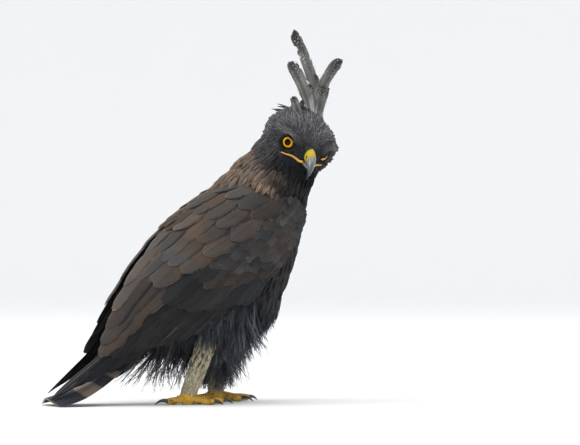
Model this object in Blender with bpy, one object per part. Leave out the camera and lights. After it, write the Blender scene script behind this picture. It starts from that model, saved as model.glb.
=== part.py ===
"""Long-crested eagle, life size, standing and looking back over its right shoulder.

Metres, +Z up, origin at the middle of the footprint on the floor. The bird is laid out
in body axes (u forward, v to its left, z up), turned by HEADING into world axes, and its
head in head axes (f along the bill, l to its left, u towards the crown).
"""
import math
import random
from dataclasses import dataclass

import bmesh
import bpy
from mathutils import Matrix, Vector
from mathutils.bvhtree import BVHTree

# General
SEED = 11
GAP = 0.0003
FLAT_ANGLE = math.radians(0.4)
HEADING = math.radians(22)
FOOTPRINT_SHIFT = Vector((0.0021, 0.0016, 0.0))
RIGHT, LEFT = -1, 1

# Torso stations, rump to shoulders: (u, z, pitch in degrees, half depth, half width)
TORSO = (
    (-0.066, 0.078, 30, 0.004, 0.004),
    (-0.060, 0.082, 32, 0.013, 0.014),
    (-0.047, 0.092, 35, 0.026, 0.025),
    (-0.030, 0.106, 39, 0.042, 0.033),
    (-0.003, 0.127, 45, 0.061, 0.040),
    (0.028, 0.153, 49, 0.086, 0.050),
    (0.056, 0.184, 53, 0.080, 0.055),
    (0.079, 0.2180, 59, 0.067, 0.053),
    (0.0925, 0.2470, 64, 0.055, 0.047),
    (0.104, 0.270, 68, 0.046, 0.044),
)
TORSO_SIDES = 22
TORSO_RINGS = 15

# Neck rings in world axes, from inside the shoulders into the head:
# (x, y, z, lean towards +X in degrees, half depth, half width)
NECK = (
    (0.0850, 0.0350, 0.2440, 27, 0.054, 0.047),
    (0.0930, 0.0385, 0.2650, 24, 0.046, 0.047),
    (0.1075, 0.0440, 0.2860, 20, 0.039, 0.0415),
    (0.1135, 0.0480, 0.3030, 16, 0.034, 0.037),
    (0.1160, 0.0520, 0.3170, 12, 0.022, 0.030),
)
NECK_SIDES = 24
NECK_RINGS = 8

# Head axes in the world, and the point midway between the irises
HEAD_FORWARD = Vector((0.286, -0.892, -0.350)).normalized()
HEAD_LEFT = Vector((0.867, 0.394, -0.304)).normalized()
HEAD_UP = HEAD_FORWARD.cross(HEAD_LEFT)
EYE_MIDPOINT = Vector((0.1345, 0.0230, 0.3000))
# Head sections along the bill's line: (f, centre height, half width, half height)
HEAD = (
    (-0.070, 0.004, 0.004, 0.004),
    (-0.066, 0.004, 0.015, 0.014),
    (-0.056, 0.001, 0.032, 0.031),
    (-0.042, 0.001, 0.042, 0.037),
    (-0.026, 0.000, 0.045, 0.037),
    (-0.012, -0.001, 0.038, 0.035),
    (-0.003, -0.002, 0.0295, 0.0305),
    (0.004, -0.004, 0.0215, 0.0245),
    (0.010, -0.005, 0.0145, 0.0180),
    (0.016, -0.006, 0.0090, 0.0120),
)
HEAD_SIDES = 24
HEAD_RINGS = 15
HEAD_FRONT = 0.0125
NECK_CUT_UP = -0.030
TORSO_CUT = (0.0935, 0.2465, 64)

# Eyes
EYE_RADIUS = 0.0105
EYE_OUT = math.radians(46)
IRIS_APART = 0.052
LID_OPENING = 0.0066
LID_OUTSET = 0.0009
ORBIT = ((0.0070, 0.0068), (0.0105, 0.0085), (0.0180, 0.0125))
LID_THICKNESS = 0.0014
# Brow ridge: (f, l, u, radius) from beside the bill, over the eye, to its outer end
BROW = (
    (0.0128, 0.0118, 0.0036, 0.0018),
    (0.0080, 0.0205, 0.0070, 0.0034),
    (0.0018, 0.0275, 0.0090, 0.0042),
    (-0.0070, 0.0330, 0.0102, 0.0042),
    (-0.0160, 0.0375, 0.0100, 0.0024),
)

# Bill: (f, height, half width, half height) from the cere to the hook's tip
BILL_UPPER = (
    (0.0128, -0.0030, 0.0070, 0.0085),
    (0.0175, -0.0032, 0.0069, 0.0080),
    (0.0230, -0.0045, 0.0065, 0.0072),
    (0.0280, -0.0072, 0.0057, 0.0064),
    (0.0320, -0.0112, 0.0046, 0.0056),
    (0.0345, -0.0162, 0.0034, 0.0045),
    (0.0353, -0.0218, 0.0021, 0.0030),
    (0.0346, -0.0268, 0.0008, 0.0011),
)
BILL_LOWER = (
    (0.0128, -0.0140, 0.0052, 0.0028),
    (0.0180, -0.0140, 0.0048, 0.0027),
    (0.0240, -0.0147, 0.0037, 0.0023),
    (0.0285, -0.0162, 0.0020, 0.0013),
)
BILL_SIDES = 12
NOSTRIL = (0.0178, 0.0080, -0.0022)
NOSTRIL_RADIUS = 0.0013
NOSTRIL_DEPTH = 0.0016
# Line of the mouth: its two ends (f, l, u), its bow outwards, its radius
MOUTH_CORNER = (-0.0145, 0.0242, -0.0190)
MOUTH_FRONT = (0.0155, 0.0125, -0.0130)
MOUTH_BOW = 0.0035
MOUTH_RISE = 0.0006
MOUTH_GROOVE = 0.0009

# Crest plumes: root (f, l) on the crown, length, lean to +X and to +Y in degrees,
# bend of the tip in degrees, width
CREST = (
    (-0.043, 0.005, 0.098, -12, 2, -17, 0.0135),
    (-0.034, -0.006, 0.059, -17, -4, -12, 0.0130),
    (-0.048, 0.013, 0.071, 23, 4, 21, 0.0130),
    (-0.050, 0.022, 0.040, 15, 10, 8, 0.0120),
    (-0.046, 0.002, 0.046, 2, 12, 3, 0.0110),
    (-0.028, -0.018, 0.017, -8, -6, -6, 0.0090),
    (-0.044, -0.022, 0.024, -84, 8, -5, 0.0075),
    (-0.050, -0.016, 0.024, -78, 22, -8, 0.0075),
)
CREST_THICKNESS = 0.0010
CREST_ROOT = 0.005
CREST_STEPS = 5
CREST_FACING = Vector((0.15, -1, 0.1)).normalized()
CREST_CURL = 0.12
CREST_CROWN_ABOVE = 0.09

# Folded wing. Its long axis runs from the shoulder back and down; s is the distance
# along it, c the distance across, round the side of the body, from the widest line.
WING_START = (0.095, 0.245)
WING_PITCH = math.radians(37.7)
# (s, height of the back line, height of the widest line, half width of the bird)
WING_SHAPE = (
    (-0.006, -0.024, 0.018, 0.0500),
    (0.030, -0.044, 0.022, 0.0640),
    (0.060, -0.050, 0.025, 0.0690),
    (0.100, -0.052, 0.025, 0.0700),
    (0.150, -0.047, 0.022, 0.0655),
    (0.185, -0.039, 0.020, 0.0575),
    (0.225, -0.025, 0.018, 0.0480),
    (0.260, -0.010, 0.020, 0.0400),
    (0.290, 0.000, 0.022, 0.0340),
    (0.330, 0.004, 0.024, 0.0280),
    (0.380, 0.008, 0.026, 0.0230),
)
LEFT_WING_DRAWN = 0.009
LOWER_TUCK = 0.22
LOWER_SPAN = 0.060
# Arm and covert body: (s, upper edge r, lower edge r, thickness), r as in Tier
WING_BODY = (
    (-0.003, -0.15, 0.00, 0.008),
    (0.010, -0.50, 0.30, 0.013),
    (0.032, -0.76, 0.52, 0.015),
    (0.062, -0.86, 0.66, 0.015),
    (0.100, -0.87, 0.64, 0.014),
    (0.140, -0.86, 0.56, 0.011),
    (0.172, -0.80, 0.40, 0.007),
    (0.200, -0.68, 0.16, 0.003),
)
WING_BODY_COLUMNS = 7


@dataclass(frozen=True)
class Tier:
    """One row of like feathers on the folded wing, from the back down to the lower edge.

    Roots and tips are (s, r): r is -1 on the middle of the back, 0 on the widest line
    and 1 at LOWER_SPAN below it.
    """
    count: int
    first_root: tuple
    last_root: tuple
    first_tip: tuple
    last_tip: tuple
    bow: float
    width: float
    root_offset: float
    tip_offset: float
    lift: float
    segments: int


PRIMARIES = Tier(5, (0.176, -0.10), (0.168, 0.30), (0.362, -0.34), (0.290, 0.16),
                 0.010, 0.0165, -0.0055, -0.0055, 11.0, 3)
SECONDARIES = Tier(7, (0.158, -0.24), (0.104, 0.40), (0.282, -0.10), (0.158, 0.77),
                   0.016, 0.021, -0.0035, -0.0020, 8.5, 3)
TERTIALS = Tier(3, (0.150, -0.72), (0.150, -0.34), (0.240, -0.68), (0.290, -0.28),
                0.004, 0.024, -0.0010, 0.0010, 4.5, 3)
GREATER_COVERTS = Tier(6, (0.128, -0.22), (0.066, 0.36), (0.190, -0.16), (0.112, 0.70),
                       0.006, 0.021, -0.0012, 0.0026, 7.5, 3)
SCAPULARS = (
    Tier(3, (0.040, -0.80), (0.036, -0.22), (0.090, -0.83), (0.086, -0.26),
         0.0, 0.030, -0.0012, 0.0022, 2.4, 3),
    Tier(3, (0.076, -0.82), (0.072, -0.22), (0.126, -0.85), (0.120, -0.27),
         0.0, 0.030, -0.0012, 0.0022, 2.4, 3),
    Tier(3, (0.108, -0.82), (0.104, -0.28), (0.162, -0.84), (0.154, -0.34),
         0.0, 0.029, -0.0012, 0.0022, 2.4, 3),
    Tier(2, (0.138, -0.78), (0.134, -0.50), (0.200, -0.79), (0.194, -0.50),
         0.0, 0.027, -0.0012, 0.0024, 2.6, 3),
)
VANE_THICKNESS = 0.0008
TIP_STRAY = 0.002
# Share of a feather's length over which it rises from its root's offset to its tip's
RISE_SHARE = 0.625

# Tail: its middle line from the rump to the floor, in body axes (u, z)
TAIL_LINE = ((-0.046, 0.0900), (-0.077, 0.0590), (-0.109, 0.0315), (-0.144, 0.0105),
             (-0.180, -0.0004))
TAIL_PAIRS = 6
TAIL_WIDTH = 0.023
TAIL_HALF_SPREAD = 0.0245
TAIL_THICKNESS = 0.0008
TAIL_STEP = 0.0012
TAIL_ARCH = 0.0030
TAIL_SEGMENTS = 4
TAIL_MIDDLE = 0.0025
TAIL_STRAY = 0.003
# Root of the tail under its coverts: (place along the middle line, half depth, half width)
TAIL_ROOT = ((0.0, 0.016, 0.019), (0.12, 0.014, 0.0195), (0.26, 0.0105, 0.019),
             (0.38, 0.0075, 0.017), (0.46, 0.004, 0.012))

# Legs: foot and heel places (u, v), sizes of the tarsus
FOOT_U = {RIGHT: -0.0175, LEFT: 0.0400}
FOOT_V = 0.030
HEEL_U = {RIGHT: 0.0135, LEFT: 0.0480}
HEEL_V = 0.032
HEEL_Z = 0.086
FOOT_TOP = 0.0130
TARSUS_RADII = (0.0088, 0.0098, 0.0104, 0.0112, 0.0118)
TARSUS_FLATTEN = 1.12
TARSUS_REACH = 0.93
THIGH_TILT = math.radians(20)
THIGH_HIP = (0.050, 0.032, 0.140)
THIGH_RADII = ((0.024, 0.015), (0.031, 0.0185), (0.031, 0.0190), (0.026, 0.0180), (0.015, 0.0140))

# Toes: (name, degrees outwards from the heading, length, radius, claw length)
TOES = (
    ("inner", -34, 0.027, 0.0042, 0.0190),
    ("middle", 4, 0.038, 0.0040, 0.0165),
    ("outer", 42, 0.029, 0.0037, 0.0145),
    ("hind", 178, 0.021, 0.0042, 0.0210),
)
TOE_SIDES = 7
TOE_START = 0.004
# Middle line of a toe: (share of its length, height), and its radius shares there
TOE_ARCH = ((0.0, 0.0075), (0.28, 0.0065), (0.52, 0.0042), (0.76, 0.0040), (1.0, 0.0036))
TOE_SHARES = (1.25, 1.05, 1.0, 1.0, 0.92)
FOOT_PAD_HEIGHT = 0.0075
FOOT_PAD_RADIUS = 0.0098
# Pitch of a claw at its root and how far it bends down by its tip
CLAW_PITCH = math.radians(20)
CLAW_BEND = math.radians(78)
CLAW_TIP = 0.00025
CLAW_RADIUS = 0.0023
CLAW_SIDES = 5
CLAW_STEPS = 4
CLAW_SINK = 0.0004

# Ragged locks: of the belly and vent on the torso, of the trousers on each thigh
LOCK_THICKNESS = 0.0011
LOCK_ROOT = 0.004
LOCK_WIDTH = 0.0145
# Width shares of a lock from its root to its tip
LOCK_SHARES = (0.7, 1.0, 0.8, 0.14)
# Trousers: (ring of the thigh, count, lengths in front and behind, lean, first and last
# bearing from the heading outwards)
TROUSERS = {
    RIGHT: ((1, 4, 0.050, 0.054, 0.26, -35, 60), (2, 5, 0.056, 0.058, 0.26, -40, 72),
            (3, 4, 0.050, 0.050, 0.26, -40, 60), (3, 3, 0.020, 0.020, 0.26, 92, 168)),
    LEFT: ((1, 4, 0.052, 0.056, 0.24, -20, 160), (2, 5, 0.058, 0.078, 0.20, -30, 165),
           (3, 8, 0.056, 0.083, 0.10, -112, 172)),
}
TROUSER_STRAY = (0.92, 1.02)
TROUSER_SAG = 0.12
# Belly and vent locks: (sag, direction from the belly's centre in degrees, length, lean)
BELLY_CENTRE = (0.022, 0.128)
BELLY_LANES = (-0.0165, -0.0055, 0.0055, 0.0165)
BELLY_ROWS = (
    (0.08, -12, 0.040, 0.30),
    (0.06, -28, 0.050, 0.25),
    (0.05, -46, 0.052, 0.20),
    (0.04, -66, 0.044, 0.12),
    (0.02, -92, 0.040, 0.25),
    (0.00, -118, 0.042, 0.40),
)
BELLY_STRAY = (0.85, 1.1)


def rgb(hex_colour):
    """Linear colour of an sRGB hex string."""
    parts = [int(hex_colour[i:i + 2], 16) / 255 for i in (0, 2, 4)]
    return [p / 12.92 if p <= 0.04045 else ((p + 0.055) / 1.055) ** 2.4 for p in parts] + [1.0]


# Finish of each kind of node: colour and roughness
FINISHES = {
    "torso": (rgb("4a413b"), 0.8),
    "neck": (rgb("4d443e"), 0.8),
    "head": (rgb("3c3c3e"), 0.8),
    "wing": (rgb("3e3a38"), 0.75),
    "tail": (rgb("4b4e55"), 0.75),
    "thigh": (rgb("232528"), 0.85),
    "tarsus": (rgb("aaa28c"), 0.85),
    "foot": (rgb("c8a01e"), 0.5),
    "claw": (rgb("141416"), 0.3),
    "bill": (rgb("828c91"), 0.35),
    "eye": (rgb("eba00a"), 0.1),
}


def material(node):
    """The Principled material of a node, by its kind."""
    colour, roughness = FINISHES[node.split("_")[0]]
    made = bpy.data.materials.new(node)
    made.use_nodes = True
    shader = made.node_tree.nodes["Principled BSDF"]
    shader.inputs["Base Color"].default_value = colour
    shader.inputs["Roughness"].default_value = roughness
    shader.inputs["Metallic"].default_value = 0.0
    return made


def body_point(u, v, z):
    """World place of a point in body axes."""
    return Vector((u * math.cos(HEADING) - v * math.sin(HEADING),
                   u * math.sin(HEADING) + v * math.cos(HEADING), z))


def head_point(f, l, u):
    """World place of a point in head axes."""
    return EYE_MIDPOINT + HEAD_FORWARD * f + HEAD_LEFT * l + HEAD_UP * u


def through(points, x):
    """Catmull-Rom value at x (0..1) through equally spaced tuples."""
    last = len(points) - 1
    place = min(max(x, 0.0), 1.0) * last
    i = min(int(place), last - 1)
    t = place - i
    p0, p1, p2, p3 = (points[min(max(i + k, 0), last)] for k in (-1, 0, 1, 2))
    return tuple(
        0.5 * (2 * b + (c - a) * t + (2 * a - 5 * b + 4 * c - d) * t * t
               + (3 * b - a - 3 * c + d) * t ** 3)
        for a, b, c, d in zip(p0, p1, p2, p3))


def at_station(table, s):
    """Values of a table at s, its first column, in straight steps between rows."""
    if s <= table[0][0]:
        return table[0][1:]
    for low, high in zip(table, table[1:]):
        if s <= high[0]:
            t = (s - low[0]) / (high[0] - low[0])
            return tuple(a + (b - a) * t for a, b in zip(low[1:], high[1:]))
    return table[-1][1:]


def mesh_object(name, verts, faces):
    """A mesh object with outward faces, in no collection yet."""
    mesh = bpy.data.meshes.new(name)
    mesh.from_pydata([tuple(v) for v in verts], [], faces)
    bm = bmesh.new()
    bm.from_mesh(mesh)
    bmesh.ops.recalc_face_normals(bm, faces=bm.faces)
    bm.to_mesh(mesh)
    bm.free()
    return bpy.data.objects.new(name, mesh)


def loft(name, rings):
    """A closed solid through rings of equal count, its ends filled to their middles."""
    count = len(rings[0])
    verts = [p for ring in rings for p in ring]
    faces = []
    for i in range(len(rings) - 1):
        for k in range(count):
            a = i * count + k
            b = i * count + (k + 1) % count
            faces.append((a, b, b + count))
            faces.append((a, b + count, a + count))
    for ring_index in (0, len(rings) - 1):
        ring = rings[ring_index]
        verts.append(sum(ring, Vector()) / count)
        for k in range(count):
            base = ring_index * count
            faces.append((base + k, base + (k + 1) % count, len(verts) - 1))
    return mesh_object(name, verts, faces)


def ellipse_ring(centre, up, side, depth, width, sides, phase=0.0):
    """Points of an ellipse about a centre."""
    return [centre + up * depth * math.cos(2 * math.pi * k / sides + phase)
            + side * width * math.sin(2 * math.pi * k / sides + phase) for k in range(sides)]


def tube(name, path, radii, sides):
    """A round solid along a path with a radius at each point."""
    rings = []
    side = None
    for i, point in enumerate(path):
        ahead = path[min(i + 1, len(path) - 1)] - path[max(i - 1, 0)]
        ahead.normalize()
        if side is None:
            side = ahead.orthogonal().normalized()
        up = side.cross(ahead).normalized()
        side = ahead.cross(up).normalized()
        rings.append(ellipse_ring(point, up, side, radii[i], radii[i], sides))
    return loft(name, rings)


def strip(name, sections, thickness):
    """A thin curved vane: sections are (left, middle, right, normal, thickness share)."""
    verts = []
    for left, middle, right, normal, share in sections:
        rise = normal * thickness * share * 0.5
        verts += [left + rise, middle + rise * 1.3, right + rise,
                  left - rise, middle - rise * 0.7, right - rise]
    faces = []
    for i in range(len(sections) - 1):
        a, b = i * 6, (i + 1) * 6
        for j in (0, 1):
            faces += [(a + j, a + j + 1, b + j + 1), (a + j, b + j + 1, b + j)]
            faces += [(a + 3 + j, b + 4 + j, a + 4 + j), (a + 3 + j, b + 3 + j, b + 4 + j)]
        faces += [(a, b, b + 3), (a, b + 3, a + 3)]
        faces += [(a + 2, a + 5, b + 5), (a + 2, b + 5, b + 2)]
    for base in (0, (len(sections) - 1) * 6):
        faces += [(base, base + 1, base + 4), (base, base + 4, base + 3),
                  (base + 1, base + 2, base + 5), (base + 1, base + 5, base + 4)]
    return mesh_object(name, verts, faces)


def flat_strip(name, sections, thickness):
    """A thin plain vane: sections are (left, right, normal, thickness share)."""
    verts = []
    for left, right, normal, share in sections:
        rise = normal * thickness * share * 0.5
        verts += [left + rise, right + rise, right - rise, left - rise]
    faces = []
    for i in range(len(sections) - 1):
        a, b = i * 4, (i + 1) * 4
        faces += [(a, a + 1, b + 1), (a, b + 1, b)]
        faces += [(a + 1, a + 2, b + 2), (a + 1, b + 2, b + 1)]
        faces += [(a + 2, a + 3, b + 2), (a + 3, b + 3, b + 2)]
        faces += [(a + 3, a, b), (a + 3, b, b + 3)]
    for base in (0, (len(sections) - 1) * 4):
        faces += [(base, base + 1, base + 2), (base, base + 2, base + 3)]
    return mesh_object(name, verts, faces)


def vane_share(x):
    """Width share along a vane, root to tip."""
    if x < 0.25:
        return 0.5 + 2.0 * x
    if x < 0.70:
        return 1.0
    return max(0.30, math.sqrt(max(0.0, 1 - ((x - 0.70) / 0.315) ** 2)))


def boolean(target, operands, operation, solver="EXACT"):
    """Apply one Boolean of a collection of solids to a solid, and drop the operands."""
    scene = bpy.context.scene.collection
    group = bpy.data.collections.new("operands")
    scene.children.link(group)
    for operand in operands:
        group.objects.link(operand)
    scene.objects.link(target)
    modifier = target.modifiers.new("join", "BOOLEAN")
    modifier.operand_type = "COLLECTION"
    modifier.collection = group
    modifier.operation = operation
    modifier.solver = solver
    graph = bpy.context.evaluated_depsgraph_get()
    result = bpy.data.meshes.new_from_object(target.evaluated_get(graph))
    target.modifiers.clear()
    old = target.data
    target.data = result
    bpy.data.meshes.remove(old)
    scene.objects.unlink(target)
    for operand in list(group.objects):
        bpy.data.objects.remove(operand)
    bpy.data.collections.remove(group)
    return target


def fuse(target, pieces, solver="EXACT"):
    """Union the pieces into the target and keep its largest closed surface."""
    return keep_largest(boolean(target, pieces, "UNION", solver))


def cut(target, cutters, solver="EXACT"):
    """Cut the cutters out of the target and keep its largest closed surface."""
    return keep_largest(boolean(target, cutters, "DIFFERENCE", solver))


def keep_largest(obj):
    """Keep only the connected surface that holds the most volume."""
    bm = bmesh.new()
    bm.from_mesh(obj.data)
    bmesh.ops.triangulate(bm, faces=bm.faces)
    bm.faces.ensure_lookup_table()
    left = set(bm.faces)
    groups = []
    while left:
        seed = next(iter(left))
        left.discard(seed)
        group = [seed]
        for face in group:
            for edge in face.edges:
                for other in edge.link_faces:
                    if other in left:
                        left.discard(other)
                        group.append(other)
        groups.append(group)
    groups.sort(key=lambda g: -abs(surface_volume(g)))
    loose = [face for group in groups[1:] for face in group]
    bmesh.ops.delete(bm, geom=loose, context="FACES")
    bmesh.ops.dissolve_limit(bm, angle_limit=FLAT_ANGLE, verts=bm.verts, edges=bm.edges,
                             delimit={"MATERIAL"})
    bmesh.ops.triangulate(bm, faces=bm.faces)
    bm.to_mesh(obj.data)
    bm.free()
    return obj


def surface_volume(faces):
    """Signed volume under a set of triangles."""
    return sum(f.verts[0].co.dot(f.verts[1].co.cross(f.verts[2].co)) for f in faces) / 6


def grown_copy(obj, distance=GAP):
    """A copy of a solid moved out along its normals, to cut a neighbour clear of it."""
    mesh = obj.data.copy()
    moved = [v.co + v.normal * distance * 1.08 for v in mesh.vertices]
    for vertex, place in zip(mesh.vertices, moved):
        vertex.co = place
    return bpy.data.objects.new(obj.name + "_cutter", mesh)


def below_plane(obj, name, point, normal):
    """A copy of a solid with what lies beyond a plane cut off and the cut closed."""
    bm = bmesh.new()
    bm.from_mesh(obj.data)
    geometry = bm.verts[:] + bm.edges[:] + bm.faces[:]
    bmesh.ops.bisect_plane(bm, geom=geometry, dist=1e-6, plane_co=point, plane_no=normal,
                           clear_outer=True)
    rim = [edge for edge in bm.edges if edge.is_boundary]
    made = bmesh.ops.holes_fill(bm, edges=rim, sides=0)
    bmesh.ops.triangulate(bm, faces=made["faces"])
    bmesh.ops.recalc_face_normals(bm, faces=bm.faces)
    mesh = bpy.data.meshes.new(name)
    bm.to_mesh(mesh)
    bm.free()
    return bpy.data.objects.new(name, mesh)


def ball(name, centre, radius, segments=14, rings=9):
    """A sphere."""
    bm = bmesh.new()
    bmesh.ops.create_uvsphere(bm, u_segments=segments, v_segments=rings, radius=radius,
                              matrix=Matrix.Translation(centre))
    mesh = bpy.data.meshes.new(name)
    bm.to_mesh(mesh)
    bm.free()
    return bpy.data.objects.new(name, mesh)


def surface_of(obj):
    """A search tree on a solid's surface."""
    bm = bmesh.new()
    bm.from_mesh(obj.data)
    tree = BVHTree.FromBMesh(bm)
    bm.free()
    return tree


# Torso, neck and head

def make_torso():
    """The torso's plain body."""
    rings = []
    for i in range(TORSO_RINGS):
        u, z, pitch, depth, width = through(TORSO, i / (TORSO_RINGS - 1))
        angle = math.radians(pitch)
        up = body_point(-math.sin(angle), 0, math.cos(angle))
        rings.append(ellipse_ring(body_point(u, 0, z), up, body_point(0, 1, 0),
                                  depth, width, TORSO_SIDES))
    return loft("torso_body", rings)


def make_neck():
    """The neck, from inside the shoulders into the head."""
    rings = []
    for i in range(NECK_RINGS):
        x, y, z, lean, depth, width = through(NECK, i / (NECK_RINGS - 1))
        angle = math.radians(lean)
        along = Vector((math.sin(angle), math.sin(angle) * 0.4, math.cos(angle))).normalized()
        side = along.cross(Vector((1, 0, 0))).normalized()
        up = side.cross(along)
        rings.append(ellipse_ring(Vector((x, y, z)), up, side, width, depth, NECK_SIDES))
    return loft("neck_body", rings)


def make_head_form():
    """The head's rounded form before its brows, lids and plumes."""
    rings = []
    for i in range(HEAD_RINGS):
        f, height, width, tall = through(HEAD, i / (HEAD_RINGS - 1))
        rings.append(ellipse_ring(head_point(f, 0, height), HEAD_UP, HEAD_LEFT,
                                  tall, width, HEAD_SIDES))
    return loft("head_body", rings)


def eye_frame(side):
    """Centre and outward direction of an eye (side RIGHT or LEFT)."""
    look = HEAD_FORWARD * math.cos(EYE_OUT) + HEAD_LEFT * side * math.sin(EYE_OUT)
    iris = head_point(0, side * IRIS_APART / 2, 0)
    return iris - look * EYE_RADIUS, look


def make_brow(side):
    """The ridge that overhangs an eye."""
    points = [head_point(f, side * l, u) for f, l, u, _ in BROW]
    return tube("brow", points, [radius for _, _, _, radius in BROW], 8)


def make_lid(side):
    """The rim of the lids round an eye."""
    centre, look = eye_frame(side)
    reach = math.sqrt(EYE_RADIUS ** 2 - LID_OPENING ** 2)
    turn = look.to_track_quat("Z", "Y").to_matrix().to_4x4()
    bpy.ops.mesh.primitive_torus_add(major_radius=LID_OPENING + LID_OUTSET,
                                     minor_radius=LID_THICKNESS,
                                     major_segments=14, minor_segments=5)
    made = bpy.context.object
    made.data.transform(Matrix.Translation(centre + look * reach) @ turn)
    lid = bpy.data.objects.new("lid", made.data.copy())
    bpy.data.objects.remove(made)
    return lid


def make_orbit(side):
    """The cutter of the shallow bowl that an eye lies open in."""
    centre, look = eye_frame(side)
    path = [centre + look * reach for reach, _ in ORBIT]
    return tube("orbit", path, [radius for _, radius in ORBIT], 12)


def make_plume(crown, number, values):
    """One crest plume, a curved narrow vane from inside the crown to its worn tip."""
    f, l, length, lean_x, lean_y, bend, width = values
    hit = crown.ray_cast(head_point(f, l, CREST_CROWN_ABOVE), -HEAD_UP)[0]
    point = hit - Vector((math.sin(math.radians(lean_x)), math.sin(math.radians(lean_y)),
                          1)).normalized() * CREST_ROOT
    sections = []
    for i in range(CREST_STEPS + 1):
        x = i / CREST_STEPS
        turn = math.radians(lean_x + bend * (x - 0.4) * 1.6)
        ahead = Vector((math.sin(turn), math.sin(math.radians(lean_y)),
                        math.cos(turn))).normalized()
        side = ahead.cross(CREST_FACING).normalized()
        normal = side.cross(ahead)
        share = (0.55 + 0.45 * min(1.0, x / 0.5)) if x < 0.9 else 0.3
        half = width * share * 0.5
        curl = -normal * width * CREST_CURL
        sections.append((point - side * half + curl, point, point + side * half + curl, normal,
                         1.0 if x < 0.99 else 0.5))
        point = point + ahead * (length + CREST_ROOT) / CREST_STEPS
    return strip(f"plume_{number}", sections, CREST_THICKNESS)


def mouth_groove(side):
    """The cutter of the line of the mouth on one side of the head."""
    corner = head_point(MOUTH_CORNER[0], side * MOUTH_CORNER[1], MOUTH_CORNER[2])
    front = head_point(MOUTH_FRONT[0], side * MOUTH_FRONT[1], MOUTH_FRONT[2])
    outward = HEAD_LEFT * side * MOUTH_BOW
    middle = (corner + front) / 2 + outward + HEAD_UP * MOUTH_RISE
    path = [corner, (corner + middle) / 2 + outward / 3, middle,
            (front + middle) / 2 + outward / 3, front]
    return tube("mouth", path, [MOUTH_GROOVE] * 5, 6)


def make_flesh(nodes):
    """Torso, neck and head: modelled whole, parted with thin cuts, then dressed."""
    torso, neck, head = make_torso(), make_neck(), make_head_form()
    whole = fuse(torso, [neck, head])
    pitch = math.radians(TORSO_CUT[2])
    axis = body_point(math.cos(pitch), 0, math.sin(pitch))
    shoulder = body_point(TORSO_CUT[0], 0, TORSO_CUT[1])
    throat = head_point(0, 0, NECK_CUT_UP)
    nodes["torso"] = below_plane(whole, "torso", shoulder - axis * GAP, axis)
    upper = below_plane(whole, "upper", shoulder, -axis)
    nodes["neck"] = below_plane(upper, "neck", throat - HEAD_UP * GAP, HEAD_UP)
    head_part = below_plane(upper, "head", throat, -HEAD_UP)
    front = head_point(HEAD_FRONT, 0, 0)
    head_part = below_plane(head_part, "head", front, HEAD_FORWARD)
    cut(head_part, [make_orbit(side) for side in (RIGHT, LEFT)])
    crown = surface_of(head_part)
    extras = [make_brow(side) for side in (RIGHT, LEFT)]
    extras += [make_lid(side) for side in (RIGHT, LEFT)]
    extras += [make_plume(crown, i, values) for i, values in enumerate(CREST)]
    fuse(head_part, extras)
    cutters = [ball("socket", eye_frame(side)[0], EYE_RADIUS + GAP)
               for side in (RIGHT, LEFT)]
    cutters += [mouth_groove(side) for side in (RIGHT, LEFT)]
    nodes["head"] = cut(head_part, cutters)


def make_eyes(nodes):
    """Both eyeballs."""
    for side, name in ((RIGHT, "eye_right"), (LEFT, "eye_left")):
        nodes[name] = ball(name, eye_frame(side)[0], EYE_RADIUS)


def bill_loft(name, table):
    """A part of the bill: sections square to the line through its stations."""
    rings = []
    count = len(table) * 2 - 1
    for i in range(count):
        f, height, width, tall = through(table, i / (count - 1))
        ahead = [b - a for a, b in zip(through(table, (i - 1) / (count - 1))[:2],
                                       through(table, (i + 1) / (count - 1))[:2])]
        along = (HEAD_FORWARD * ahead[0] + HEAD_UP * ahead[1]).normalized()
        if i == 0:
            along = HEAD_FORWARD
        up = HEAD_LEFT.cross(along).normalized() * -1
        rings.append(ellipse_ring(head_point(f, 0, height), up, HEAD_LEFT, tall, width,
                                  BILL_SIDES))
    return loft(name, rings)


def make_bill(nodes):
    """The hooked upper bill with its nostrils, and the lower bill tucked under it."""
    upper = bill_loft("bill_upper", BILL_UPPER)
    cutters = []
    for side in (RIGHT, LEFT):
        mouth = head_point(NOSTRIL[0], side * NOSTRIL[1], NOSTRIL[2])
        inside = mouth - HEAD_LEFT * side * NOSTRIL_DEPTH
        outside = mouth + HEAD_LEFT * side * NOSTRIL_DEPTH
        cutters.append(tube("nostril", [inside, mouth, outside], [NOSTRIL_RADIUS] * 3,
                            8))
    nodes["bill_upper"] = cut(upper, cutters)
    lower = bill_loft("bill_lower", BILL_LOWER)
    nodes["bill_lower"] = cut(lower, [grown_copy(nodes["bill_upper"])])


# Wings

def wing_point(s, c, offset, side):
    """World place on the folded wing's outer surface, moved out by offset."""
    def surface(s_at, c_at):
        back, widest, half_width = at_station(WING_SHAPE, s_at)
        quarter = (widest - back + half_width) * math.pi / 4
        if c_at < 0:
            angle = max(0.03, math.pi / 2 * (1 + c_at / quarter))
            t = widest - (widest - back) * math.cos(angle)
            v = half_width * math.sin(angle)
        else:
            t = widest + c_at
            v = half_width * (1 - LOWER_TUCK * (c_at / LOWER_SPAN) ** 2)
        u = WING_START[0] - s_at * math.cos(WING_PITCH) + t * math.sin(WING_PITCH)
        z = WING_START[1] - s_at * math.sin(WING_PITCH) - t * math.cos(WING_PITCH)
        return body_point(u, side * v, z)
    step = 0.002
    point = surface(s, c)
    along = surface(s + step, c) - surface(s - step, c)
    across = surface(s, c + step) - surface(s, c - step)
    normal = along.cross(across).normalized() * -side
    outward = body_point(0, side, 0)
    if normal.dot(outward) < 0 and c > -0.02:
        normal = -normal
    return point + normal * offset, normal


def across_of(s, r):
    """Distance c across the wing at share r of section s."""
    if r >= 0:
        return r * LOWER_SPAN
    back, widest, half_width = at_station(WING_SHAPE, s)
    return r * (widest - back + half_width) * math.pi / 4


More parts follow.
